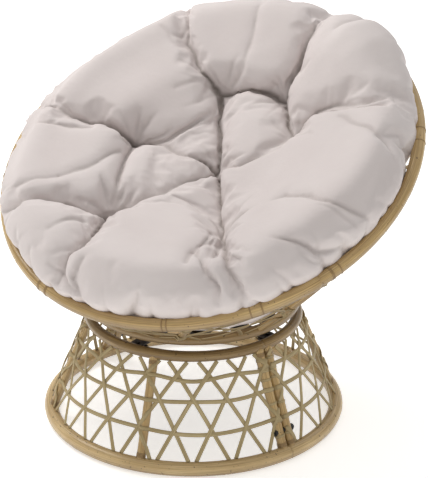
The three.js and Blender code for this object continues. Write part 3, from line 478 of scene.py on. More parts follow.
# %% [markdown]
# ## Poles: rings, posts and ribs
#
# A bent pole isn't perfectly even. Every palm or so there is a node, where a leaf once grew: a slight
# swelling with a thin ring. Each pole's swelling is made by scaling the swept outline near its nodes.

# %% Helpers for poles
rng = np.random.default_rng(11)
POLE_SIDES = 20
NODE_LENGTH, NODE_SWELL = 7 * MM, 0.045
GROOVE_LENGTH, GROOVE = 1.3 * MM, NODE_SWELL * 1.5
SCARF_SWELL, SCARF_LENGTH, SCARF_NOTCH, NOTCH_LENGTH = 0.11, 16 * MM, 0.2, 2.6 * MM
PATH_STEP = 4 * MM


def hump(distances, length):
    """A smooth hump, 1 high where the distance is 0."""
    return np.exp(-(distances / length) ** 2)


def swellings(distances, nodes):
    """How much a pole's outline grows at each distance along it, with a groove in the middle of each node."""
    sizes = np.ones(len(distances))
    for node in nodes:
        past = distances - node
        sizes += NODE_SWELL * hump(past, NODE_LENGTH) - GROOVE * hump(past, GROOVE_LENGTH)
    return sizes


def spaced_nodes(length, spacing):
    """Nodes along a pole at about a spacing, each a little off its even place."""
    count = max(int(length / spacing), 1)
    return [(i + 0.5 + rng.uniform(-0.22, 0.22)) * length / count for i in range(count)]


def ring_pole(sweeper, place, centre, tube, nodes, start, turn=math.tau, scarf=False):
    """A bent pole along part or all of a circle. place gives its points by bearing."""
    radius = (place(start) - centre).length
    closed = turn == math.tau
    steps = int(radius * turn / PATH_STEP)
    bearings = [start + turn * i / steps for i in range(steps + (0 if closed else 1))]
    path = [place(b) for b in bearings]
    distances = (np.array(bearings) - start) * radius
    sizes = swellings(distances, nodes)
    if scarf:
        length = turn * radius
        past = (distances + length / 2) % length - length / 2
        thicker = SCARF_SWELL * hump(past + SCARF_LENGTH, SCARF_LENGTH)
        sizes += thicker - SCARF_NOTCH * hump(past, NOTCH_LENGTH)
    sweeper.sweep(path, [p - centre for p in path], round_outline(tube, POLE_SIDES), closed, sizes)


def level_ring(radius, height):
    return lambda bearing: swivel + heading(bearing) * radius + UP * height


print("a node swells a pole by", NODE_SWELL)

# %% [markdown]
# ## Rings of the base
#
# The base is made as two halves, so each ring is two bent poles that meet at the seams with a hair's gap.

# %% Rings of the base
SEAM = math.radians(70)
SEAM_GAP = 0.5 * MM
halves = {"left": SEAM + math.pi, "right": SEAM}
for side, start in halves.items():
    for ring, radius, tube, height, finish in (
        ("floor", FLOOR_RING, FLOOR_TUBE, FLOOR_HEIGHT, floor_pole),
        # The upper ring takes the darker cane copy as painted shade from the bowl.
        ("top", TOP_RING, TOP_TUBE, TOP_HEIGHT, painted_shade_pole),
    ):
        half = Sweeper()
        cut = SEAM_GAP / radius
        nodes = spaced_nodes(radius * math.pi, 290 * MM)
        place = level_ring(radius, height)
        ring_pole(half, place, swivel + UP * height, tube, nodes, start + cut, math.pi - 2 * cut)
        name = f"base_{ring}_ring_{side}"
        half.make(f"{name}_pole", finish, "base", "wrapped_pole", [name])
print("base rings:", len(halves) * 2, "bent poles")

# %% [markdown]
# ## Rings of the seat
#
# The rim is one pole whose ends are cut slanting and laid on each other. That scarf joint shows at the front
# right as a notch with a thicker end beside it.

# %% Rings of the seat
RIM_JOINT, SEAT_RING_JOINT = math.radians(57), math.radians(57) + 2.1
seat_ring = Sweeper()
seat_ring_nodes = spaced_nodes(SEAT_RING * math.tau, 310 * MM)
place, middle = level_ring(SEAT_RING, SEAT_HEIGHT), swivel + UP * SEAT_HEIGHT
ring_pole(seat_ring, place, middle, SEAT_TUBE, seat_ring_nodes, SEAT_RING_JOINT)
# The seat's lower ring takes the darker cane copy as painted shade from the bowl.
seat_ring.make("seat_lower_ring_pole", painted_shade_pole, "seat", "wrapped_pole", ["seat_lower_ring"])

# The rim's nodes that the picture shows, as bearings in the rim's plane.
RIM_NODES = [-64, -36, -2.5, 31.5, 47.5, 78.5, 92.5, 121, 150, 176, 214, 246, 272]
rim = Sweeper()
rim_nodes = [((math.radians(b) - RIM_JOINT) % math.tau) * RIM_RING for b in RIM_NODES]
ring_pole(rim, rim_place, rim_centre, RIM_TUBE, rim_nodes, RIM_JOINT, scarf=True)
rim.make("seat_rim_pole", lacquered_pole, "seat", "wrapped_pole", ["seat_rim"])
print("rim:", len(rim.points), "points,", len(RIM_NODES), "nodes")

# %% [markdown]
# ## Posts of the base
#
# Straight poles stand at six places between the rings. At the two seams it is a pair, one pole for each half.
# Each post is a little thicker where it is nailed to the upper ring.

# %% Posts of the base
POST_TUBE, SEAM_POST_TUBE, SEAM_POST_GAP = 10 * MM, 11 * MM, 2 * MM
POSTS, POST_STEPS, POST_ENDS = 6, 48, (0.015, 0.985)
FLARE, FLARE_LENGTH = 0.12, 18 * MM
seam_post_offset = SEAM_POST_TUBE + SEAM_POST_GAP / 2


def aside(bearing):
    return Vector((math.cos(bearing), math.sin(bearing), 0))


def upright(name, bearing, tube, shift):
    """A straight pole down the skirt, shifted sideways, with its ends inside the rings."""
    shares = np.linspace(*POST_ENDS, POST_STEPS)
    path = [skirt_place(bearing, s) + aside(bearing) * shift for s in shares]
    distances = shares * skirt_slope
    nodes = [rng.uniform(0.3, 0.7) * skirt_slope]
    sizes = swellings(distances, nodes) + FLARE * hump(distances, FLARE_LENGTH)
    post = Sweeper()
    post.sweep(path, [heading(bearing)] * POST_STEPS, round_outline(tube, POLE_SIDES), False, sizes)
    post.make(f"{name}_pole", lacquered_pole, "base", "wrapped_pole", [name])


post_bearings = [SEAM + math.tau * i / POSTS for i in range(POSTS)]
seams = post_bearings[::POSTS // 2]
for i, bearing in enumerate(post_bearings):
    if bearing not in seams:
        upright(f"base_post_{i}", bearing, POST_TUBE, 0)
        continue
    seam, turned = ("front_seam", 1) if i == 0 else ("rear_seam", -1)
    for side, way in (("left", -turned), ("right", turned)):
        upright(f"{seam}_post_{side}", bearing, SEAM_POST_TUBE, way * seam_post_offset)
print("posts:", [round(math.degrees(b)) for b in post_bearings])

# %% [markdown]
# ## Ribs of the bowl
#
# Eight thinner poles carry the cushion. They are longest at the back, where the rim stands high above the
# seat's lower ring.

# %% Ribs of the bowl
RIBS, RIB_TUBE, RIB_START = 8, 8 * MM, math.radians(22.5)
RIB_SIDES, RIB_STEP, RIB_ENDS = 14, 6 * MM, (0.01, 0.99)
rib_bearings = [RIB_START + math.tau * i / RIBS for i in range(RIBS)]
for i, bearing in enumerate(rib_bearings):
    arc = (rim_place(bearing) - bowl_place(bearing, 1)).length
    steps = max(int(arc / RIB_STEP), 8)
    path = [bowl_place(bearing, s) for s in np.linspace(*RIB_ENDS, steps)]
    sizes = swellings(np.linspace(0, arc, steps), spaced_nodes(arc, 260 * MM))
    rib = Sweeper()
    rib.sweep(path, [p - bowl_centre for p in path], round_outline(RIB_TUBE, RIB_SIDES), False, sizes)
    rib.make(f"seat_rib_{i + 1}_pole", lacquered_pole, "seat", "wrapped_pole", [f"seat_rib_{i + 1}"])
print("ribs:", RIBS)

# %% [markdown]
# ## The open weave of flat reed
#
# Three sets of reed make the net: hoops that run level, and two sets that slant left and right and cross
# between the hoops. They pass over and under each other, and they bow out over every post or rib. At the
# seams of the base each reed turns round its own end post. Nothing woven by hand is quite even, so each reed
# is set a few millimetres off its place.

# %% How high a reed lies
REED_WIDTH, REED_THICKNESS = 9.4 * MM, 2 * MM
REED_LIFT, CROSSING_LIFT = 4.4 * MM, 1.2 * MM
OUT_STEP = 10 * MM


def bow_over(lateral, tube):
    """How high a reed lies on a round pole at a distance from the pole's middle, or nothing beside it."""
    clear = tube + REED_THICKNESS * 0.6
    return math.sqrt(max(clear ** 2 - lateral ** 2, 0))


def soft_max(first, second, blend=2.5 * MM):
    """The larger of two lengths, rounded off where they are nearly alike."""
    mix = max(blend - abs(first - second), 0) / blend
    return max(first, second) + mix * mix * blend / 4


def reed_lift(radius, bearing, weave, plain):
    """The lift of a reed at a bearing, from its plain lift and the pole nearest to it."""
    lift = plain
    for pole_bearing, shift, tube in weave["poles"]:
        lateral = radius * math.sin(bearing - pole_bearing) - shift
        if math.cos(bearing - pole_bearing) > 0 and abs(lateral) < 2 * tube:
            lift = soft_max(lift, bow_over(lateral, tube))
    return lift


print("a reed is", REED_WIDTH / MM, "mm wide and", REED_THICKNESS / MM, "mm thick")

# %% [markdown]
# ## Routes of the reeds
#
# A slanting reed is wound down like the thread of a screw. It turns fastest near the narrow upper ring, so
# that the cells stay about the same size on the way down.


# %% Routes of the reeds
def row_share(weave, row):
    """The share of the way down at which a slanting reed has passed a number of rows of crossings."""
    return ((1 + weave["twist"]) ** (row / weave["rows"]) - 1) / weave["twist"]


def reed(sweeper, weave, route, lifts):
    """Sweeps one flat reed along a route of (bearing, share) on the weave's surface."""
    place = weave["place"]
    path, outward = [], []
    for (bearing, share), plain in zip(route, lifts):
        path.append(place(bearing, share, reed_lift(weave["radius"](bearing, share), bearing, weave, plain)))
        outward.append(place(bearing, share, OUT_STEP) - place(bearing, share, 0))
    sweeper.sweep(path, outward, flat_outline(REED_WIDTH, REED_THICKNESS))


def slant_route(weave, start, side, length):
    """A slanting reed's route, from the upper ring to the lower one, with its wandering and its lifts."""
    wander = rng.normal(0, weave["wander"], 3)
    route, lifts = [], []
    for row in np.linspace(0, weave["rows"], max(int(length / PATH_STEP), 12)):
        drift = wander[0] + wander[1] * math.sin(row * 1.3) + wander[2] * math.cos(row * 0.8)
        route.append((start + side * (row - 1) * weave["pitch"] / 2 + drift, row_share(weave, row)))
        lifts.append(REED_LIFT + side * CROSSING_LIFT * math.cos(math.pi * row))
    return route, lifts


print("a route is stepped every", PATH_STEP / MM, "mm")

# %% [markdown]
# ## Weave of the base
#
# Three hoops and 24 reeds each way. Each half of the base is woven by itself, so all reeds stop at its posts.

# %% Where the weave of the base runs
skirt = {
    "place": skirt_place,
    "radius": lambda bearing, share: TOP_RING + skirt_fall.x * share,
    "pitch": math.tau / 24,
    "start": math.radians(8),
    "rows": 4,
    "twist": 1.7,
    "wander": 0.0045,
    "poles": [(b, 0, POST_TUBE) for b in post_bearings if b not in seams]
    + [(b, s * seam_post_offset, SEAM_POST_TUBE) for b in seams for s in (-1, 1)],
}
SKIRT_HOOPS, HOOP_SWAY = [0.205, 0.405, 0.68], 0.006
SKIRT_ENDS = (0.045, 0.945)
TUCK = 2.2 * MM


def within(route, lifts, low, high, ends, weave):
    """The stretch of a route between two bearings and two shares, with its ends cut exactly there."""
    kept = []
    for (bearing, share), lift in zip(route, lifts):
        tuck = TUCK / weave["radius"](bearing, share)
        if low + tuck <= bearing <= high - tuck and ends[0] <= share <= ends[1]:
            kept.append(((bearing, share), lift))
    return [k[0] for k in kept], [k[1] for k in kept]


print("hoops of the base at shares", SKIRT_HOOPS)

# %% [markdown]
# ## Weaving the base
#
# The slanting reeds alternate over and under at each crossing. The hoops sway a little.

# %% Weaving the base
for side, start in halves.items():
    low, high = start, start + math.pi
    for way, way_name in ((-1, "left"), (1, "right")):
        slants = Sweeper()
        for i in range(-4, 48):
            route, lifts = slant_route(skirt, skirt["start"] + i * skirt["pitch"], way, skirt_slope * 1.2)
            route, lifts = within(route, lifts, low, high, SKIRT_ENDS, skirt)
            if len(route) > 4:
                reed(slants, skirt, route, lifts)
        slants.make(f"base_weave_slants_{way_name}_{side}", split_reed, "base", "woven_strand")
    hoops = Sweeper()
    for share in SKIRT_HOOPS:
        steps = int(math.pi * skirt["radius"](0, share) / PATH_STEP)
        sway = rng.normal(0, HOOP_SWAY, 4)
        route = []
        for b in np.linspace(low, high, steps):
            drift = sway[0] * math.sin(3 * b) + sway[1] * math.cos(5 * b) + sway[2] * math.sin(9 * b)
            route.append((b, share + drift))
        route, lifts = within(route, [REED_LIFT] * steps, low, high, SKIRT_ENDS, skirt)
        reed(hoops, skirt, route, lifts)
    replaced = [f"base_weave_{n}" for n in ((1, 2, 3) if side == "right" else (4, 5, 6))]
    hoops.make(f"base_weave_hoops_{side}", split_reed, "base", "woven_strand", replaced)
woven = [o for o in scene.objects if o.name.startswith("base_weave_") and "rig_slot" in o]
print("base weave:", len(woven), "pieces")

# %% [markdown]
# ## Reed ends at the seams
#
# At a seam the ends of the hoops are wound once round their own end post and tucked in, and so are the reeds
# that arrive there slanting. Each turn is a closed hoop of reed, slightly askew.

# %% Reed ends at the seams
WRAP_THICKNESS, TURN_STEPS = 1.3 * MM, 28
WRAP_SHARES = (0.12, 0.205, 0.3, 0.405, 0.53, 0.68, 0.83)


def wind(sweeper, middle, direction, reach, width, thickness):
    """One closed turn of flat reed or cane round a pole."""
    ahead = direction.normalized()
    first = ahead.orthogonal().normalized()
    second = ahead.cross(first)
    around = [math.tau * k / TURN_STEPS for k in range(TURN_STEPS)]
    spokes = [first * math.cos(a) + second * math.sin(a) for a in around]
    sweeper.sweep([middle + s * reach for s in spokes], spokes, flat_outline(width, thickness), True)


seam_wraps = Sweeper()
for bearing in seams:
    fall = (skirt_place(bearing, 1) - skirt_place(bearing, 0)).normalized()
    for shift in (-seam_post_offset, seam_post_offset):
        for share in WRAP_SHARES:
            width = REED_WIDTH * (0.95 if share in SKIRT_HOOPS else 0.6)
            middle = skirt_place(bearing, share + rng.normal(0, 0.004)) + aside(bearing) * shift
            lean = fall + aside(bearing) * rng.uniform(-0.12, 0.12)
            wind(seam_wraps, middle, lean, SEAM_POST_TUBE + WRAP_THICKNESS * 0.3, width, WRAP_THICKNESS)
seam_wraps.make("base_seam_wraps", split_reed, "base", "woven_strand")
print("seam wraps:", len(seam_wraps.faces), "faces")

# %% [markdown]
# ## Weave of the bowl
#
# The bowl has the same open weave, hidden under the cushion but for a strip at the front. It carries the
# cushion between the ribs.

# %% Weave of the bowl
bowl = {
    "place": bowl_place,
    "radius": lambda bearing, share: (bowl_place(bearing, share) - swivel).xy.length,
    "pitch": math.tau / 16,
    "start": 0.0,
    "rows": 4,
    "twist": 0.35,
    "wander": 0.005,
    "poles": [(b, 0, RIB_TUBE) for b in rib_bearings],
}
BOWL_HOOPS, BOWL_ENDS = [0.3, 0.64], (0.04, 0.965)
SLANT_STEPS, HOOP_STEPS = 90, 420
SLANT_SINK, HOOP_LIFT = 3 * MM, 1.4 * MM
for way, way_name, fields in ((-1, "left", (1, 2, 3, 4)), (1, "right", (5, 6, 7, 8))):
    slants = Sweeper()
    for i in range(16):
        route, lifts = slant_route(bowl, bowl["start"] + i * bowl["pitch"], way, SLANT_STEPS * PATH_STEP)
        route, lifts = within(route, lifts, -math.inf, math.inf, BOWL_ENDS, bowl)
        reed(slants, bowl, route, [lift - SLANT_SINK for lift in lifts])
    replaced = [f"seat_weave_{n}" for n in fields]
    slants.make(f"seat_weave_slants_{way_name}", split_reed, "seat", "woven_strand", replaced)
hoops = Sweeper()
for share in BOWL_HOOPS:
    path = []
    for b in [math.tau * i / HOOP_STEPS for i in range(HOOP_STEPS)]:
        path.append(bowl_place(b, share, reed_lift(bowl["radius"](b, share), b, bowl, HOOP_LIFT)))
    hoops.sweep(path, [p - bowl_centre for p in path], flat_outline(REED_WIDTH, REED_THICKNESS), True)
hoops.make("seat_weave_hoops", split_reed, "seat", "woven_strand")
print("bowl weave:", len(BOWL_HOOPS), "hoops")

# %% [markdown]
# ## Cane bindings
#
# Where poles meet, the maker winds thin cane skin round them. Here each joint of a post or rib with a ring
# gets a few turns, and the rim's own lapped joint gets a longer one. A binding is a closed hoop of flat cane
# per turn, so that it looks wound.

# %% A binding
CANE_WIDTH, CANE_THICKNESS = 3.4 * MM, 1.1 * MM
CANE_PITCH = CANE_WIDTH * 1.03


def binding(sweeper, place, direction, tube, turns):
    """Turns of cane round a pole: place is the binding's middle, and direction runs along the pole."""
    for i in range(turns):
        middle = place + direction.normalized() * ((i - (turns - 1) / 2) * CANE_PITCH)
        wind(sweeper, middle, direction, tube + CANE_THICKNESS * 0.35, CANE_WIDTH, CANE_THICKNESS)


print("a binding's cane is", CANE_WIDTH / MM, "mm wide")

# %% [markdown]
# ## Bindings of the rim
#
# In the picture narrow bands sit at a few places on the rim, and the scarf joint has finer ones on both
# sides. At the back, which the picture hides, a pair of bands holds each rib.


# %% Bindings of the rim
def along_rim(bearing):
    return rim_place(bearing + 0.01) - rim_place(bearing - 0.01)


# Bearing in degrees and the number of turns. The hidden ribs start at the fourth.
RIM_BANDS = [(15.4, 1), (16.6, 1), (38, 1), (41, 1), (109, 1), (113.5, 1), (54.2, 1), (60.5, 2), (63, 1)]
for bearing in rib_bearings[3:]:
    RIM_BANDS += [(math.degrees(bearing) + offset, 2) for offset in (-1.5, 1.5)]
rim_bindings = Sweeper()
for b, turns in RIM_BANDS:
    binding(rim_bindings, rim_place(math.radians(b)), along_rim(math.radians(b)), RIM_TUBE, turns)
for b in rib_bearings:
    binding(rim_bindings, bowl_place(b, 0.07), bowl_place(b, 0.1) - bowl_place(b, 0.04), RIB_TUBE, 3)
rim_bindings.make("seat_rim_bindings", cane_binding, "seat", "wrapped_pole")
print("bindings of the rim:", len(RIM_BANDS))

# %% [markdown]
# ## Bindings of the base
#
# Each post is bound close under the upper ring and close over the ring on the floor.

# %% Bindings of the base
POST_BANDS = (0.075, 0.915)
base_bindings = Sweeper()
for bearing in post_bearings:
    fall = skirt_place(bearing, 1) - skirt_place(bearing, 0)
    in_seam = bearing in seams
    for shift in ([-seam_post_offset, seam_post_offset] if in_seam else [0]):
        for share in POST_BANDS:
            middle = skirt_place(bearing, share) + aside(bearing) * shift
            binding(base_bindings, middle, fall, SEAM_POST_TUBE if in_seam else POST_TUBE, 3)
base_bindings.make("base_post_bindings", cane_binding, "base", "wrapped_pole")
print("bindings:", len(rim_bindings.faces) + len(base_bindings.faces), "faces")

# %% [markdown]
# ## The swivel and the seam bolts
#
# The swivel is powder-coated steel: two cross-shaped plates, with a ball race between them. The seam bolts
# are blackened steel with caps of moulded nylon. Powder coat has a fine orange-peel skin, moulded nylon a
# dull sheen.


# %% Metal and plastic
def coated_material(name, colour, dust, grain, roughness, metallic, relief):
    """A plain dark finish with a fine skin of a grain size in mm and a little dust."""
    material, tree, shader = blank_material(name)
    place = add(tree, "ShaderNodeTexCoord").outputs["Object"]
    skin = add(tree, "ShaderNodeTexNoise", {"Vector": place, "Scale": 1 / (grain * MM), "Detail": 2.0})
    patch = add(tree, "ShaderNodeTexNoise", {"Vector": place, "Scale": 30.0, "Detail": 3.0})
    dusty = {"Value": patch, "From Min": 0.45, "From Max": 0.75, "To Max": 0.5}
    rough = {"Value": patch, "To Min": roughness - 0.06, "To Max": roughness + 0.1}
    bump = {"Height": skin, "Strength": relief, "Distance": grain * MM * 0.1}
    feed(tree, shader, {
        "Base Color": stained(tree, colour, (add(tree, "ShaderNodeMapRange", dusty), dust)),
        "Roughness": add(tree, "ShaderNodeMapRange", rough),
        "Normal": add(tree, "ShaderNodeBump", bump),
        "Metallic": metallic,
    })
    return material


# %% [markdown]
# ## Finishes of the hardware
#
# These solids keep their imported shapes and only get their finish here: arms and plates in brown powder
# coat, races and balls in ground steel, bolts in black oxide.

# %% Finishes of the hardware
# Colour, dust, grain in mm, roughness, metallic and relief.
powder_coat = coated_material("powder_coated_steel", "#2a1f16", "#463726", 2, 0.46, 0.0, 0.3)
black_oxide = coated_material("black_oxide_steel", "#2a2927", "#45413c", 1.2, 0.4, 1.0, 0.2)
bearing_steel = coated_material("ground_bearing_steel", "#8f8d8a", "#6b675f", 0.8, 0.28, 1.0, 0.15)
moulded_nylon = coated_material("moulded_black_nylon", "#151416", "#2b2a2b", 1.5, 0.42, 0.0, 0.25)
arm_bolts = [f"{place}_arm_bolt_{n}" for place in ("base", "seat") for n in (1, 2, 3, 4)]
seam_plastic = [f"{s}_{p}" for s in ("front_seam", "rear_seam") for p in ("cap_left", "cap_right", "spacer")]
HARDWARE = {
    powder_coat: ["base_spider", "seat_spider"],
    bearing_steel: ["lower_race", "upper_race", "ball_cage"],
    black_oxide: ["swivel_pivot", "front_seam_bolt", "rear_seam_bolt", *arm_bolts],
    moulded_nylon: seam_plastic,
}
for material, names in HARDWARE.items():
    for name in names:
        packed = frame["nodes"][name].data
        packed.materials.clear()
        packed.materials.append(material)
print("kept as packed:", sum(len(names) for names in HARDWARE.values()), "nodes")

# %% [markdown]
# ## Ears for the swivel's arms
#
# Each arm of the swivel is bolted to a steel ear that is welded to the core inside a ring. The ears belong to
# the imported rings, so they are made again here in steel.

# %% Ears
EAR_WIDTH, EAR_REACH, EAR_THICKNESS, EAR_SUNK = 40 * MM, 34 * MM, 5 * MM, 2 * MM
EAR_FACES = [(0, 1, 3, 2), (4, 6, 7, 5), (0, 4, 5, 1), (2, 3, 7, 6), (0, 2, 6, 4), (1, 5, 7, 3)]


def ears(name, body, ring, tube, height, first_bearing):
    """Four flat ears inside a level ring."""
    points, faces = [], []
    for k in range(4):
        bearing = math.radians(first_bearing + 90 * k)
        for radius in (ring - EAR_SUNK, ring - tube - EAR_REACH):
            for across in (-EAR_WIDTH / 2, EAR_WIDTH / 2):
                for z in (height - tube, height - tube + EAR_THICKNESS):
                    points.append(swivel + heading(bearing) * radius + aside(bearing) * across + UP * z)
        faces += [[8 * k + c for c in corners] for corners in EAR_FACES]
    piece = add_object(name, mesh_of(name, points, faces))
    piece.data.materials.append(powder_coat)
    edges = piece.modifiers.new("edges", "BEVEL")
    edges.width, edges.segments = 0.8 * MM, 2
    dress(piece, body, "black_steel")


ears("base_ears", "base", TOP_RING, TOP_TUBE, TOP_HEIGHT, -6)
ears("seat_ears", "seat", SEAT_RING, SEAT_TUBE, SEAT_HEIGHT, 0)
print("ears: 4 in the base and 4 in the seat")

# %% [markdown]
# ## The cushion
#
# Two discs of polyester canvas are sewn at the edge, stuffed with loose fibre and pulled in at seven tufts.
# The cloth between the tufts folds into valleys. The valleys are drawn first, as lines on the cushion, each
# point with a bearing, a reach from the middle measured over the cloth, and a depth. Then the shape is meshed
# evenly and blown up as cloth with the valleys held, and the fine creases come last.

# %% Main folds
CUSHION_SECTION = [(0, -14), (142, -14), (283.5, 42), (405, 98), (449.5, 84), (494, 46), (488, 25), (469, -9)]

# Bearing in degrees, reach in mm and depth in mm. The tufts come first in each line that starts at one.
upper_left_tuft, upper_tuft, right_tuft = (-158, 228, 92), (162, 235, 92), (127, 190, 45)
left_tuft, middle_tuft = (-97, 216, 90), (160, 12, 78)
lower_left_tuft, front_tuft = (-37, 245, 90), (34, 235, 60)
MAIN_FOLDS = [
    [upper_left_tuft, (-155, 245, 60), (-151, 275, 44), (-148, 320, 36), (-146, 370, 30), (-148, 430, 20),
     (-148, 500, 12)],
    [upper_left_tuft, (-168, 226, 70), (-178, 230, 62), (173, 230, 66), upper_tuft],
    [upper_tuft, (161, 265, 60), (162, 305, 48), (163, 345, 38), (164, 400, 28), (165, 435, 22),
     (166, 510, 14)],
    [upper_tuft, (150, 212, 58), (135, 195, 46), right_tuft],
    [right_tuft, (131, 225, 38), (131, 270, 30), (126, 325, 20), (120, 390, 10), (119, 450, 5)],
    [middle_tuft, (-170, 65, 52), (-160, 130, 54), (-159, 175, 58), upper_left_tuft],
    [middle_tuft, (-101, 75, 18), (-102, 150, 26), left_tuft],
    [middle_tuft, (-29, 60, 26), (-34, 110, 14), (-34, 155, 18), (-35, 190, 34), lower_left_tuft],
    [middle_tuft, (40, 75, 52), (34, 150, 50), front_tuft],
    [left_tuft, (-96, 250, 62), (-95, 310, 48), (-93, 345, 40), (-93, 385, 30), (-93, 430, 20),
     (-92, 480, 7)],
    [lower_left_tuft, (-37, 305, 56), (-44, 345, 42), (-46, 390, 32), (-47, 440, 24), (-49, 500, 16),
     (-51, 530, 10)],
    [lower_left_tuft, (-30, 290, 58), (-22, 350, 42), (-16, 430, 30), (-16, 495, 22), (-16, 530, 12)],
    [front_tuft, (35, 280, 44), (36, 400, 34), (36, 450, 28), (37, 510, 16)],
]
print("main folds:", len(MAIN_FOLDS))

# %% [markdown]
# ## Soft folds
#
# Between the main folds the cloth puckers. These lines are shallow, and many start near a tuft or at the
# edge.

# %% Soft folds
SOFT_FOLDS = [
    [left_tuft, (-85, 212, 60), (-71, 210, 42), (-54, 220, 22), (-42, 240, 8)],
    [(-83, 450, 12), (-84, 410, 18), (-85, 370, 20), (-88, 325, 24)],
    [(-97, 205, 56), (-102, 188, 36), (-109, 178, 22), (-118, 170, 8)],
    [(-96, 190, 40), (-109, 160, 28), (-133, 150, 18), (-149, 168, 8)],
    [(-103, 150, 16), (-124, 140, 14), (-148, 150, 8)],
    [(-79, 228, 22), (-65, 270, 16), (-57, 340, 12), (-55, 390, 13), (-54, 435, 11), (-55, 490, 7)],
    [(-28, 345, 10), (-29, 390, 13), (-29, 440, 9)],
    [(-9, 455, 10), (-10, 500, 15), (-7, 545, 12)],
    [(-21, 495, 9), (-14, 512, 13), (-9, 530, 10)],
    [(29, 230, 24), (27, 310, 24), (24, 360, 28), (23, 430, 18)],
    [(25, 370, 26), (29, 470, 24), (31, 510, 16)],
    [(30, 290, 14), (29, 400, 8)],
    [(34, 285, 34), (32, 405, 22)],
    [middle_tuft, (97, 75, 24), (113, 135, 20), (119, 180, 26), right_tuft],
    [(126, 275, 18), (123, 320, 14), (117, 390, 9), (114, 445, 5)],
    [(115, 330, 10), (109, 375, 15), (102, 430, 17), (99, 475, 13), (95, 505, 7)],
    [(151, 425, 10), (150, 475, 15), (150, 530, 17), (145, 550, 14)],
    [(64, 275, 5), (70, 290, 18), (71, 365, 20), (72, 455, 22), (74, 490, 20), (76, 530, 12)],
    [(69, 430, 7), (71, 475, 12), (72, 515, 8)],
    [(52, 430, 6), (55, 460, 18), (58, 490, 22), (61, 520, 20), (66, 548, 12)],
    [(56, 490, 5), (57, 522, 10), (60, 560, 6)],
    [(-148, 445, 12), (-147, 410, 15), (-144, 388, 13), (-141, 395, 8)],
    [(-141, 375, 9), (-140, 400, 10), (-138, 430, 7)],
    [(-174, 270, 5), (-174, 330, 9), (-174, 395, 10), (-174, 450, 7)],
    [(-149, 250, 8), (-143, 250, 10), (-134, 245, 7)],
    [(-152, 262, 9), (-148, 290, 10), (-141, 318, 6)],
]
print("soft folds:", len(SOFT_FOLDS))

# %% [markdown]
# ## The section
#
# The cushion's half section runs from the middle of its dish over the crown to the drawn-in side. A few
# corners and a smooth line through them are enough, because a stuffed cushion has no straight part.


# %% The cushion's section
def smooth_curve(corners, per_span=24):
    """A smooth line through the corners: each tangent is parallel to the line between its neighbours."""
    corners = np.array(corners, float)
    padded = np.vstack([2 * corners[0] - corners[1], corners, 2 * corners[-1] - corners[-2]])
    line = []
    for i in range(1, len(padded) - 2):
        a, b, c, d = padded[i - 1:i + 3]
        slope, bend, turn = c - a, 2 * a - 5 * b + 4 * c - d, 3 * b - a - 3 * c + d
        for t in np.linspace(0, 1, per_span, endpoint=False):
            line.append(0.5 * (2 * b + slope * t + bend * t ** 2 + turn * t ** 3))
    return np.array(line + [corners[-1]])


section = smooth_curve(CUSHION_SECTION) * MM
section_reach = np.concatenate([[0], np.cumsum(np.linalg.norm(np.diff(section, axis=0), axis=1))])
section_ahead = np.gradient(section, axis=0)
section_ahead /= np.linalg.norm(section_ahead, axis=1)[:, None]
section_out = np.stack([-section_ahead[:, 1], section_ahead[:, 0]], 1)
top_reach = section_reach[-1]
waist = section[-1, 0]
print("reach from the middle to the waist:", round(top_reach / MM), "mm")

# %% [markdown]
# ## The depth of the folds
#
# A fold is drawn as a line on the cloth pressed flat. At any spot it matters how far the nearest line is, and
# how deep the fold is there. Steep walls and round shoulders make pads that roll gently and meet in a crease.

# %% Depth of the folds
TUFT_LEAST = 40


def on_map(bearing, reach):
    """A place over the cloth as flat coordinates, as if the cushion's top were pressed flat."""
    return np.stack([reach * np.sin(bearing), -reach * np.cos(bearing)], -1)


def wavered(spots):
    """Map places moved a few millimetres to and fro, so that no crease runs straight."""
    x, y = spots[:, 0], spots[:, 1]
    return spots + 3 * MM * np.stack([np.sin(61 * x + 37 * y), np.sin(43 * x - 71 * y + 1)], -1)


def along_folds(spots, folds):
    """For each piece of fold line: how far the spots are from it, and how deep it is there."""
    moved = wavered(spots)
    for fold in folds:
        line = np.array(fold, float)
        knots = on_map(np.radians(line[:, 0]), line[:, 1] * MM)
        for a, b, depth_a, depth_b in zip(knots, knots[1:], line[:, 2] * MM, line[1:, 2] * MM):
            run = b - a
            share = np.clip(((moved - a) @ run) / (run @ run), 0, 1)
            away = np.linalg.norm(moved - (a + share[:, None] * run), axis=1)
            yield away, depth_a + (depth_b - depth_a) * share


def fold_depth(spots, folds, width_base, width_share, roundness=2.0):
    """The depth of the folds at spots on the map. A valley has steep walls and round shoulders."""
    deepest = np.zeros(len(spots))
    for away, depth in along_folds(spots, folds):
        inside = np.clip(1 - away / (width_base + width_share * depth), 0, 1)
        deepest = np.maximum(deepest, depth * (1 - (1 - inside ** roundness) ** (1 / roundness)))
    return deepest


# A fold line's end that is this deep is a tuft.
tufts = sorted({end for fold in MAIN_FOLDS for end in (fold[0], fold[-1]) if end[2] > TUFT_LEAST})
print("tufts:", len(tufts))

# %% [markdown]
# ## Puckers
#
# Small wrinkles run out from each tuft and up from the sewn edge. They are too many to draw one by one, so
# they are dealt out with seeded dice.

# %% Puckers
dice = np.random.default_rng(5)
TUFT_PUCKERS, EDGE_PUCKERS = 9, 54
PUCKERS = []


def pucker(start, angle, lengths, depths):
    """A fold line from a place on the map in mm: its bearings, reaches and depths."""
    ends = [start + length * np.array([math.sin(angle), -math.cos(angle)]) for length in lengths]
    places = [(math.degrees(math.atan2(x, -y)), math.hypot(x, y)) for x, y in ends]
    PUCKERS.append([(*place, depth) for place, depth in zip(places, depths)])


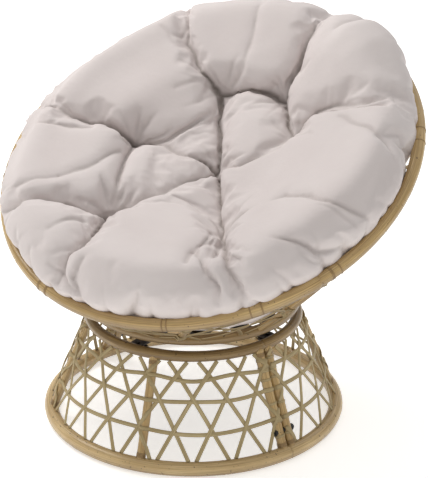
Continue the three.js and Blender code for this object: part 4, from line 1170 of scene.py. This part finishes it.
for bearing, reach, depth in tufts:
    for k in range(TUFT_PUCKERS):
        angle = math.tau * (k + dice.uniform(-0.35, 0.35)) / TUFT_PUCKERS
        length = dice.uniform(45, 105)
        depths = (4, dice.uniform(8, 14), 2)
        pucker(on_map(math.radians(bearing), reach), angle, (12, length / 2, length), depths)
for k in range(EDGE_PUCKERS):
    angle = math.tau * (k + dice.uniform(-0.35, 0.35)) / EDGE_PUCKERS
    length = dice.uniform(50, 130)
    back = angle + math.pi + dice.uniform(-0.5, 0.5)
    depths = (6, dice.uniform(9, 17), 2)
    pucker(on_map(angle, top_reach / MM - 6), back, (0, length / 3, length), depths)
print("puckers:", len(PUCKERS))

# %% [markdown]
# ## The edge
#
# A soft cushion isn't even all round. Its left side is flatter, its upper right corner stands up like an ear,
# and its right side lies inside the rim.

# %% The edge
# How the edge differs from an even one at bearings all the way round, in mm: how far the crown rises, and how
# far the bulge under it rises and stands out.
EDGE_ROWS = [
    (-180, -14, -10, 0), (-160, -18, -16, -2), (-148, -14, -14, 0), (-138, -30, -24, -2),
    (-125, -36, -24, -2), (-110, -38, -24, 0), (-95, -44, -24, 3), (-80, -42, -24, 5), (-66, -26, -18, 6),
    (-52, -10, -8, 2),
    (-35, -2, 0, -3), (45, -1, 0, -3), (62, -1, 0, 4), (75, -2, 0, 7), (90, -6, 0, -3), (100, -10, 0, -14),
    (110, -12, 0, -18), (120, -10, 0, -16), (130, 4, 4, -4), (138, 22, 14, 8), (146, 26, 18, 10),
    (154, 10, 8, 2), (161, -14, -12, -4), (168, -16, -12, -2), (180, -14, -10, 0),
]
CROWN_BAND = (0.42, 0.68, 0.78, 0.9)
BULGE_RISE_BAND = (0.74, 0.86, 0.88, 0.935)
BULGE_OUT_BAND = (0.74, 0.86, 0.92, 0.975)


def eased(value, low, high):
    share = np.clip((value - low) / (high - low), 0, 1)
    return share * share * (3 - 2 * share)


def band(share, limits):
    return eased(share, *limits[:2]) * (1 - eased(share, *limits[2:]))


def edge_change(bearing, reach):
    """How far the edge is moved outwards and upwards at a bearing and a reach."""
    at, crown, bulge, out = np.array(EDGE_ROWS, float).T
    degrees, share = np.degrees(bearing), reach / top_reach
    up = np.interp(degrees, at, crown) * band(share, CROWN_BAND)
    up += np.interp(degrees, at, bulge) * band(share, BULGE_RISE_BAND)
    return np.interp(degrees, at, out) * band(share, BULGE_OUT_BAND) * MM, up * MM


print("the edge rises by up to", max(row[1] for row in EDGE_ROWS), "mm")

# %% [markdown]
# ## The top
#
# The top is a grid of points over the cloth. Each lies on the section, sunk by the folds at its spot and
# moved as its stretch of the edge asks. A main valley mixes a wide soft part with a narrow one. Where a soft
# fold is deeper than the valley beside it, the soft fold counts.

# %% The top
TURNS, TOP_ROWS = 400, 150
WIDE_SHARE, PUCKER_SHARE = 0.6, 0.6


def cushion_depth(spots):
    """All folds together. Each kind has a least width, and grows wider by a share of its depth."""
    tuft_folds = [[t, (t[0], t[1] + 1, t[2])] for t in tufts]
    valleys = fold_depth(spots, MAIN_FOLDS, 46 * MM, 0.8)
    wide = np.maximum(valleys, fold_depth(spots, tuft_folds, 48 * MM, 0.7, 1.9))
    narrow = fold_depth(spots, MAIN_FOLDS + tuft_folds, 14 * MM, 0.34)
    soft = fold_depth(spots, SOFT_FOLDS, 16 * MM, 1.0)
    drawn = np.maximum(WIDE_SHARE * wide + (1 - WIDE_SHARE) * narrow, soft)
    return drawn + PUCKER_SHARE * fold_depth(spots, PUCKERS, 12 * MM, 0.6)


def section_point(reach, depth):
    """Radius and height over the rim's plane at a reach, sunk into the cushion by a depth."""
    place, out = ([np.interp(reach, section_reach, c) for c in rows.T] for rows in (section, section_out))
    return place[0] - depth * out[0], place[1] - depth * out[1]


def place_in_seat(bearing, radius, height):
    """Cushion coordinates as points in the row frame."""
    across, rise, over = np.array([1.0, 0, 0]), np.array(rim_rise), np.array(rim_normal)
    flat = (radius * np.sin(bearing))[..., None] * across - (radius * np.cos(bearing))[..., None] * rise
    return np.array(rim_centre) + flat + height[..., None] * over


bearings = np.linspace(-math.pi, math.pi, TURNS, endpoint=False)
grid = np.meshgrid(bearings, np.linspace(0, top_reach, TOP_ROWS)[1:], indexing="ij")
grid_bearing, grid_reach = grid[0].ravel(), grid[1].ravel()
spots = on_map(grid_bearing, grid_reach)
top_radius, top_height = section_point(grid_reach, cushion_depth(spots))
edge_out, edge_up = edge_change(grid_bearing, grid_reach)
top_points = place_in_seat(grid_bearing, top_radius + edge_out, top_height + edge_up)
print("top:", len(top_points), "points")

# %% [markdown]
# ## The underside
#
# Underneath, the cushion lies on the ribs. Places all over the bowl, a rib's thickness inside it, are kept
# in a search tree, and the height at a spot is that of the highest of the nearest ones. Where the cushion
# passes over the seat's lower ring it lies level.

# %% The underside
BED_LIFT = -(RIB_TUBE + 2.5 * MM) * 1.3
BED_TURNS, BED_ROWS = 540, 150
BED_REACH, NO_BED = 9 * MM, -1.0
# The underside goes no lower than this under the rim's plane.
LOWEST = -268 * MM
bed_tree = KDTree(BED_TURNS * BED_ROWS)
bed_heights = []
for bearing in np.linspace(0, math.tau, BED_TURNS, endpoint=False):
    for share in np.linspace(0, 1, BED_ROWS):
        spot = bowl_place(bearing, share, BED_LIFT) - rim_centre
        bed_tree.insert((spot.x, spot.dot(rim_rise), 0), len(bed_heights))
        bed_heights.append(spot.dot(rim_normal))
bed_tree.balance()


def bed_height(x, rise):
    """The height of the ribs' inner side at a place in the rim's plane, or NO_BED beside the bowl."""
    found = bed_tree.find_n((x, rise, 0), 4)
    return max(bed_heights[i] for _, i, _ in found) if found[0][2] < BED_REACH else NO_BED


def under_height(bearing, radius):
    """The cushion's underside: on the ribs of the bowl, and level where it lies on the seat's lower ring."""
    bed = np.array([bed_height(r * math.sin(b), -r * math.cos(b)) for b, r in zip(bearing, radius)])
    level = SEAT_HEIGHT + SEAT_TUBE + 1 * MM
    floor_line = (level - rim_centre.z + radius * np.cos(bearing) * math.sin(RECLINE)) / math.cos(RECLINE)
    return np.maximum(np.maximum(bed, LOWEST), floor_line)


print("the bed's lowest place:", round(min(bed_heights) / MM), "mm under the rim's middle")

# %% [markdown]
# ## The first shape
#
# Rings of points, from the middle of the top out to the waist and back in underneath, make one closed mesh.

# %% The first shape
UNDER_SHARES = [0.985, 0.95, 0.9, 0.84, 0.77, 0.69, 0.6, 0.5, 0.4, 0.3, 0.2, 0.1]


def closed_cushion():
    """The first shape as one closed mesh."""
    rings = list(top_points.reshape(TURNS, -1, 3).transpose(1, 0, 2))
    for share in UNDER_SHARES:
        radius = np.full(TURNS, waist * share)
        rings.append(place_in_seat(bearings, radius, under_height(bearings, radius)))
    none = np.zeros(1)
    top_middle = place_in_seat(none, *section_point(none, cushion_depth(np.zeros((1, 2)))))
    low_middle = place_in_seat(none, none, under_height(none, none))
    points = np.concatenate([top_middle, *rings, low_middle])
    faces = []
    foot, last = 1 + (len(rings) - 1) * TURNS, len(points) - 1
    for k in range(TURNS):
        m = (k + 1) % TURNS
        faces.append((0, 1 + k, 1 + m))
        for a in range(1, foot, TURNS):
            faces.append((a + k, a + TURNS + k, a + TURNS + m, a + m))
        faces.append((last, foot + m, foot + k))
    return mesh_of("cushion", points.tolist(), faces)


cushion = add_object("cushion_cover", closed_cushion())
print("first shape:", len(cushion.data.vertices), "points")

# %% [markdown]
# ## An even mesh
#
# Cloth needs faces of one size. The remesher makes them, and a light smoothing takes its steps away. Each new
# point then takes its place on the map from the nearest points of the first shape, so that the folds can be
# found again later.

# %% An even mesh
VOXEL = 7.5 * MM
NEAREST, TOP_LIMIT = 6, 2.5 * VOXEL


def settle(piece):
    """Applies a piece's modifiers to its mesh."""
    graph = bpy.context.evaluated_depsgraph_get()
    mesh = bpy.data.meshes.new_from_object(piece.evaluated_get(graph))
    piece.modifiers.clear()
    piece.data = mesh


def rows_of(items, field, width=3, kind=float):
    """One field of all items of a mesh, such as the places of its points, as rows of numbers."""
    found = np.empty(len(items) * width, kind)
    items.foreach_get(field, found)
    return found.reshape(-1, width)


even = cushion.modifiers.new("even", "REMESH")
even.mode = "VOXEL"
even.voxel_size = VOXEL
smoothing = cushion.modifiers.new("smoothing", "SMOOTH")
smoothing.factor, smoothing.iterations = 0.5, 3
settle(cushion)

top_tree = KDTree(len(top_points))
for i, point in enumerate(top_points):
    top_tree.insert(point, i)
top_tree.balance()
start_shape = rows_of(cushion.data.vertices, "co")
near = [top_tree.find_n(p, NEAREST) for p in start_shape]
near_distance = np.array([[n[2] for n in row] for row in near])
nearness = 1 / (near_distance ** 2 + (1 * MM) ** 2)
near_spots = spots[[[n[1] for n in row] for row in near]]
mapped = np.sum(near_spots * nearness[:, :, None], 1) / nearness.sum(1)[:, None]
on_top = near_distance[:, 0] < TOP_LIMIT
print("even mesh:", len(start_shape), "points,", int(on_top.sum()), "on the top")

# %% [markdown]
# ## Blowing up the cushion
#
# Pressure from inside stretches the cloth between the folds, which are held, and makes the small wrinkles
# that are hard to draw. No point may move further than a cap, so the cushion keeps its place in the bowl.

# %% Blowing up the cushion
CLOTH_FRAMES = 20
MOST_MOVE = 16 * MM
HELD_WIDTH, HELD_DEPTH = 5 * MM, 12 * MM
CLOTH = {
    "quality": 6, "mass": 0.25, "tension_stiffness": 12, "compression_stiffness": 12, "shear_stiffness": 6,
    "bending_stiffness": 0.15, "shrink_min": -0.09, "use_pressure": True, "uniform_pressure_force": 4.0,
    "vertex_group_mass": "held",
}


def crease_at(spots, folds):
    """How far each spot is from the nearest fold, and how deep that fold is."""
    best, deep = np.full(len(spots), 1.0), np.zeros(len(spots))
    for away, depth in along_folds(spots, folds):
        nearer = away < best
        best[nearer], deep[nearer] = away[nearer], depth[nearer]
    return best, deep


def blow_up(piece):
    """Runs the cloth and returns where its points end, none of them moved further than the cap."""
    cloth = piece.modifiers.new("cloth", "CLOTH")
    for setting, value in CLOTH.items():
        setattr(cloth.settings, setting, value)
    cloth.settings.effector_weights.gravity = 0
    cloth.collision_settings.use_collision = False
    cloth.point_cache.frame_start, cloth.point_cache.frame_end = 1, CLOTH_FRAMES
    for number in range(1, CLOTH_FRAMES + 1):
        scene.frame_set(number)
    settle(piece)
    scene.frame_set(1)
    move = rows_of(piece.data.vertices, "co") - start_shape
    length = np.linalg.norm(move, axis=1)
    return start_shape + move * np.minimum(1, MOST_MOVE / np.maximum(length, 1e-9))[:, None], length


main_distance, main_depth = crease_at(mapped, MAIN_FOLDS)
held = ~on_top | ((main_distance < HELD_WIDTH) & (main_depth > HELD_DEPTH))
group = cushion.vertex_groups.new(name="held")
group.add([int(i) for i in np.nonzero(held)[0]], 1.0, "REPLACE")
blown, moved = blow_up(cushion)
usual = np.median(moved[~held])
print(f"the cloth moved up to {moved.max() / MM:.0f} mm, {usual / MM:.1f} mm in the middle case")


# %% [markdown]
# ## A finer mesh
#
# A crease is narrower than the faces that the cloth was blown up with. So the mesh is made finer, and it
# carries its map along as an attribute, by which the folds are found again.

# %% A finer mesh
cushion.data.vertices.foreach_set("co", blown.ravel())
mapping = cushion.data.attributes.new("cloth_map", "FLOAT_VECTOR", "POINT")
mapping.data.foreach_set("vector", np.column_stack([mapped, on_top]).ravel())
finer = cushion.modifiers.new("finer", "SUBSURF")
finer.levels = finer.render_levels = 1
settle(cushion)

mesh = cushion.data
fine_map = rows_of(mesh.attributes["cloth_map"].data, "vector")
mesh.attributes.remove(mesh.attributes["cloth_map"])
ends = rows_of(mesh.edges, "vertices", 2, int)
links = np.bincount(ends.ravel(), minlength=len(mesh.vertices))[:, None]


def relaxed(values, rounds):
    """Values of points, each drawn halfway to the mean of its neighbours a number of times."""
    for _ in range(rounds):
        total = np.zeros_like(values)
        np.add.at(total, ends[:, 0], values[ends[:, 1]])
        np.add.at(total, ends[:, 1], values[ends[:, 0]])
        values = (values + total / links) / 2
    return values


fine_map = relaxed(fine_map, 4)
print("finer mesh:", len(mesh.vertices), "points")

# %% [markdown]
# ## Creases
#
# Along each fold a narrow crease is pressed in, deepest at the tufts. How deep each point lies in a crease is
# kept as an attribute, which darkens the cloth there as painted shade.

# %% Creases
CREASE_WIDTH, CREASE_LEAST, CREASE_SHARE, CREASE_FULL = 5 * MM, 2 * MM, 0.13, 50 * MM
WRINKLE_SHARE, WRINKLE_MOST, WRINKLE_PAINTED_SHADE, WRINKLE_FULL = 0.22, 22 * MM, 0.3, 16 * MM
LIP_START, LIP_FULL = 0.84, 0.91


def pressed(folds):
    """How much each point lies in one of the folds, from 0 to 1, and how deep that fold is."""
    distance, depth = crease_at(fine_map[:, :2], folds)
    return np.exp(-(distance / CREASE_WIDTH) ** 2) * (fine_map[:, 2] > 0.5), depth


crease, crease_depth = pressed(MAIN_FOLDS)
wrinkle, wrinkle_depth = pressed(SOFT_FOLDS + PUCKERS)
depths = crease * (CREASE_LEAST + CREASE_SHARE * crease_depth)
depths = depths + wrinkle * WRINKLE_SHARE * np.minimum(wrinkle_depth, WRINKLE_MOST)
inward = depths[:, None] * rows_of(mesh.vertex_normals, "vector")
# Where the top turns under, the even mesh is rough, so it is smoothed more there.
at_lip = eased(np.linalg.norm(fine_map[:, :2], axis=1) / top_reach, LIP_START, LIP_FULL)[:, None]
calm = relaxed(rows_of(mesh.vertices, "co"), 2)
calm += at_lip * (relaxed(calm, 10) - calm)
mesh.vertices.foreach_set("co", (calm - inward).ravel())
# Painted shade: this attribute darkens the cloth in each crease and wrinkle.
painted_crease_shade = mesh.attributes.new("crease_painted_shade", "FLOAT", "POINT")
painted_wrinkle_shade = wrinkle * np.clip(wrinkle_depth / WRINKLE_FULL, 0.1, 1) * WRINKLE_PAINTED_SHADE
painted_crease_shade.data.foreach_set("value", np.maximum(crease * np.clip(crease_depth / CREASE_FULL, 0.1, 1), painted_wrinkle_shade))
mesh.shade_smooth()
print("deepest crease:", round(depths.max() / MM, 1), "mm")

# %% [markdown]
# ## Canvas
#
# Polyester canvas is matt, with a faint sheen from its fibres. Its threads are half a millimetre apart, too
# fine for this picture, so the weave is drawn at two millimetres. Broad, faint clouds keep a large pale cloth
# from looking like plastic.


# %% Canvas
def canvas_material():
    material, tree, shader = blank_material("polyester_canvas")
    place = add(tree, "ShaderNodeTexCoord").outputs["Object"]
    cloud = add(tree, "ShaderNodeTexNoise", {"Vector": place, "Scale": 7.0, "Detail": 4.0})
    clouds = add(tree, "ShaderNodeMapRange", {"Value": cloud, "From Min": 0.3, "From Max": 0.7})
    # The crease attribute darkens the cloth's colour as painted shade.
    painted_crease_shade = add(tree, "ShaderNodeAttribute", attribute_name="crease_painted_shade").outputs["Fac"]
    painted_shade_share = add(tree, "ShaderNodeMath", {0: painted_crease_shade, 1: 0.75}, operation="MULTIPLY")
    threads = {"Vector": place, "Scale": 1 / (2 * MM) / 20, "Distortion": 0.6}
    weft, warp = (add(tree, "ShaderNodeTexWave", threads, bands_direction=way) for way in "XY")
    woven = add(tree, "ShaderNodeMath", {0: weft, 1: warp}, operation="MULTIPLY")
    crumple = {"Vector": place, "Scale": 26.0, "Detail": 5.0, "Roughness": 0.55}
    crumpled = add(tree, "ShaderNodeTexNoise", crumple)
    fine = add(tree, "ShaderNodeBump", {"Height": woven, "Strength": 0.12, "Distance": 0.4 * MM})
    broad = {"Height": crumpled, "Strength": 0.3, "Distance": 4 * MM, "Normal": fine}
    feed(tree, shader, {
        # The last stain is painted shade in the creases.
        "Base Color": stained(tree, "#d8cfcd", (clouds, "#ded6d4"), (painted_shade_share, "#75695f")),
        "Normal": add(tree, "ShaderNodeBump", broad),
        "Roughness": 0.92,
        "Sheen Weight": 0.15,
        "Sheen Roughness": 0.5,
        "IOR": 1.5,
        "Specular IOR Level": 0.25,
    })
    return material


print("canvas threads are drawn 2 mm apart")

# %% [markdown]
# ## The finished cushion
#
# The cushion takes the place of the imported solid.

# %% The finished cushion
cushion.data.materials.clear()
cushion.data.materials.append(canvas_material())
dress(cushion, "seat", "cushion_fabric", ["cushion"])

# %% [markdown]
# ## Sizes
#
# The box of the dressed chair is printed, and kept in one table with that of the imported one.

# %% Sizes
visual_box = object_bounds()
sizes = {"cad": [list(corner) for corner in cad_box], "visual": [list(corner) for corner in visual_box]}
print("box of the dressed chair:", [tuple(round(c, 3) for c in corner) for corner in visual_box])
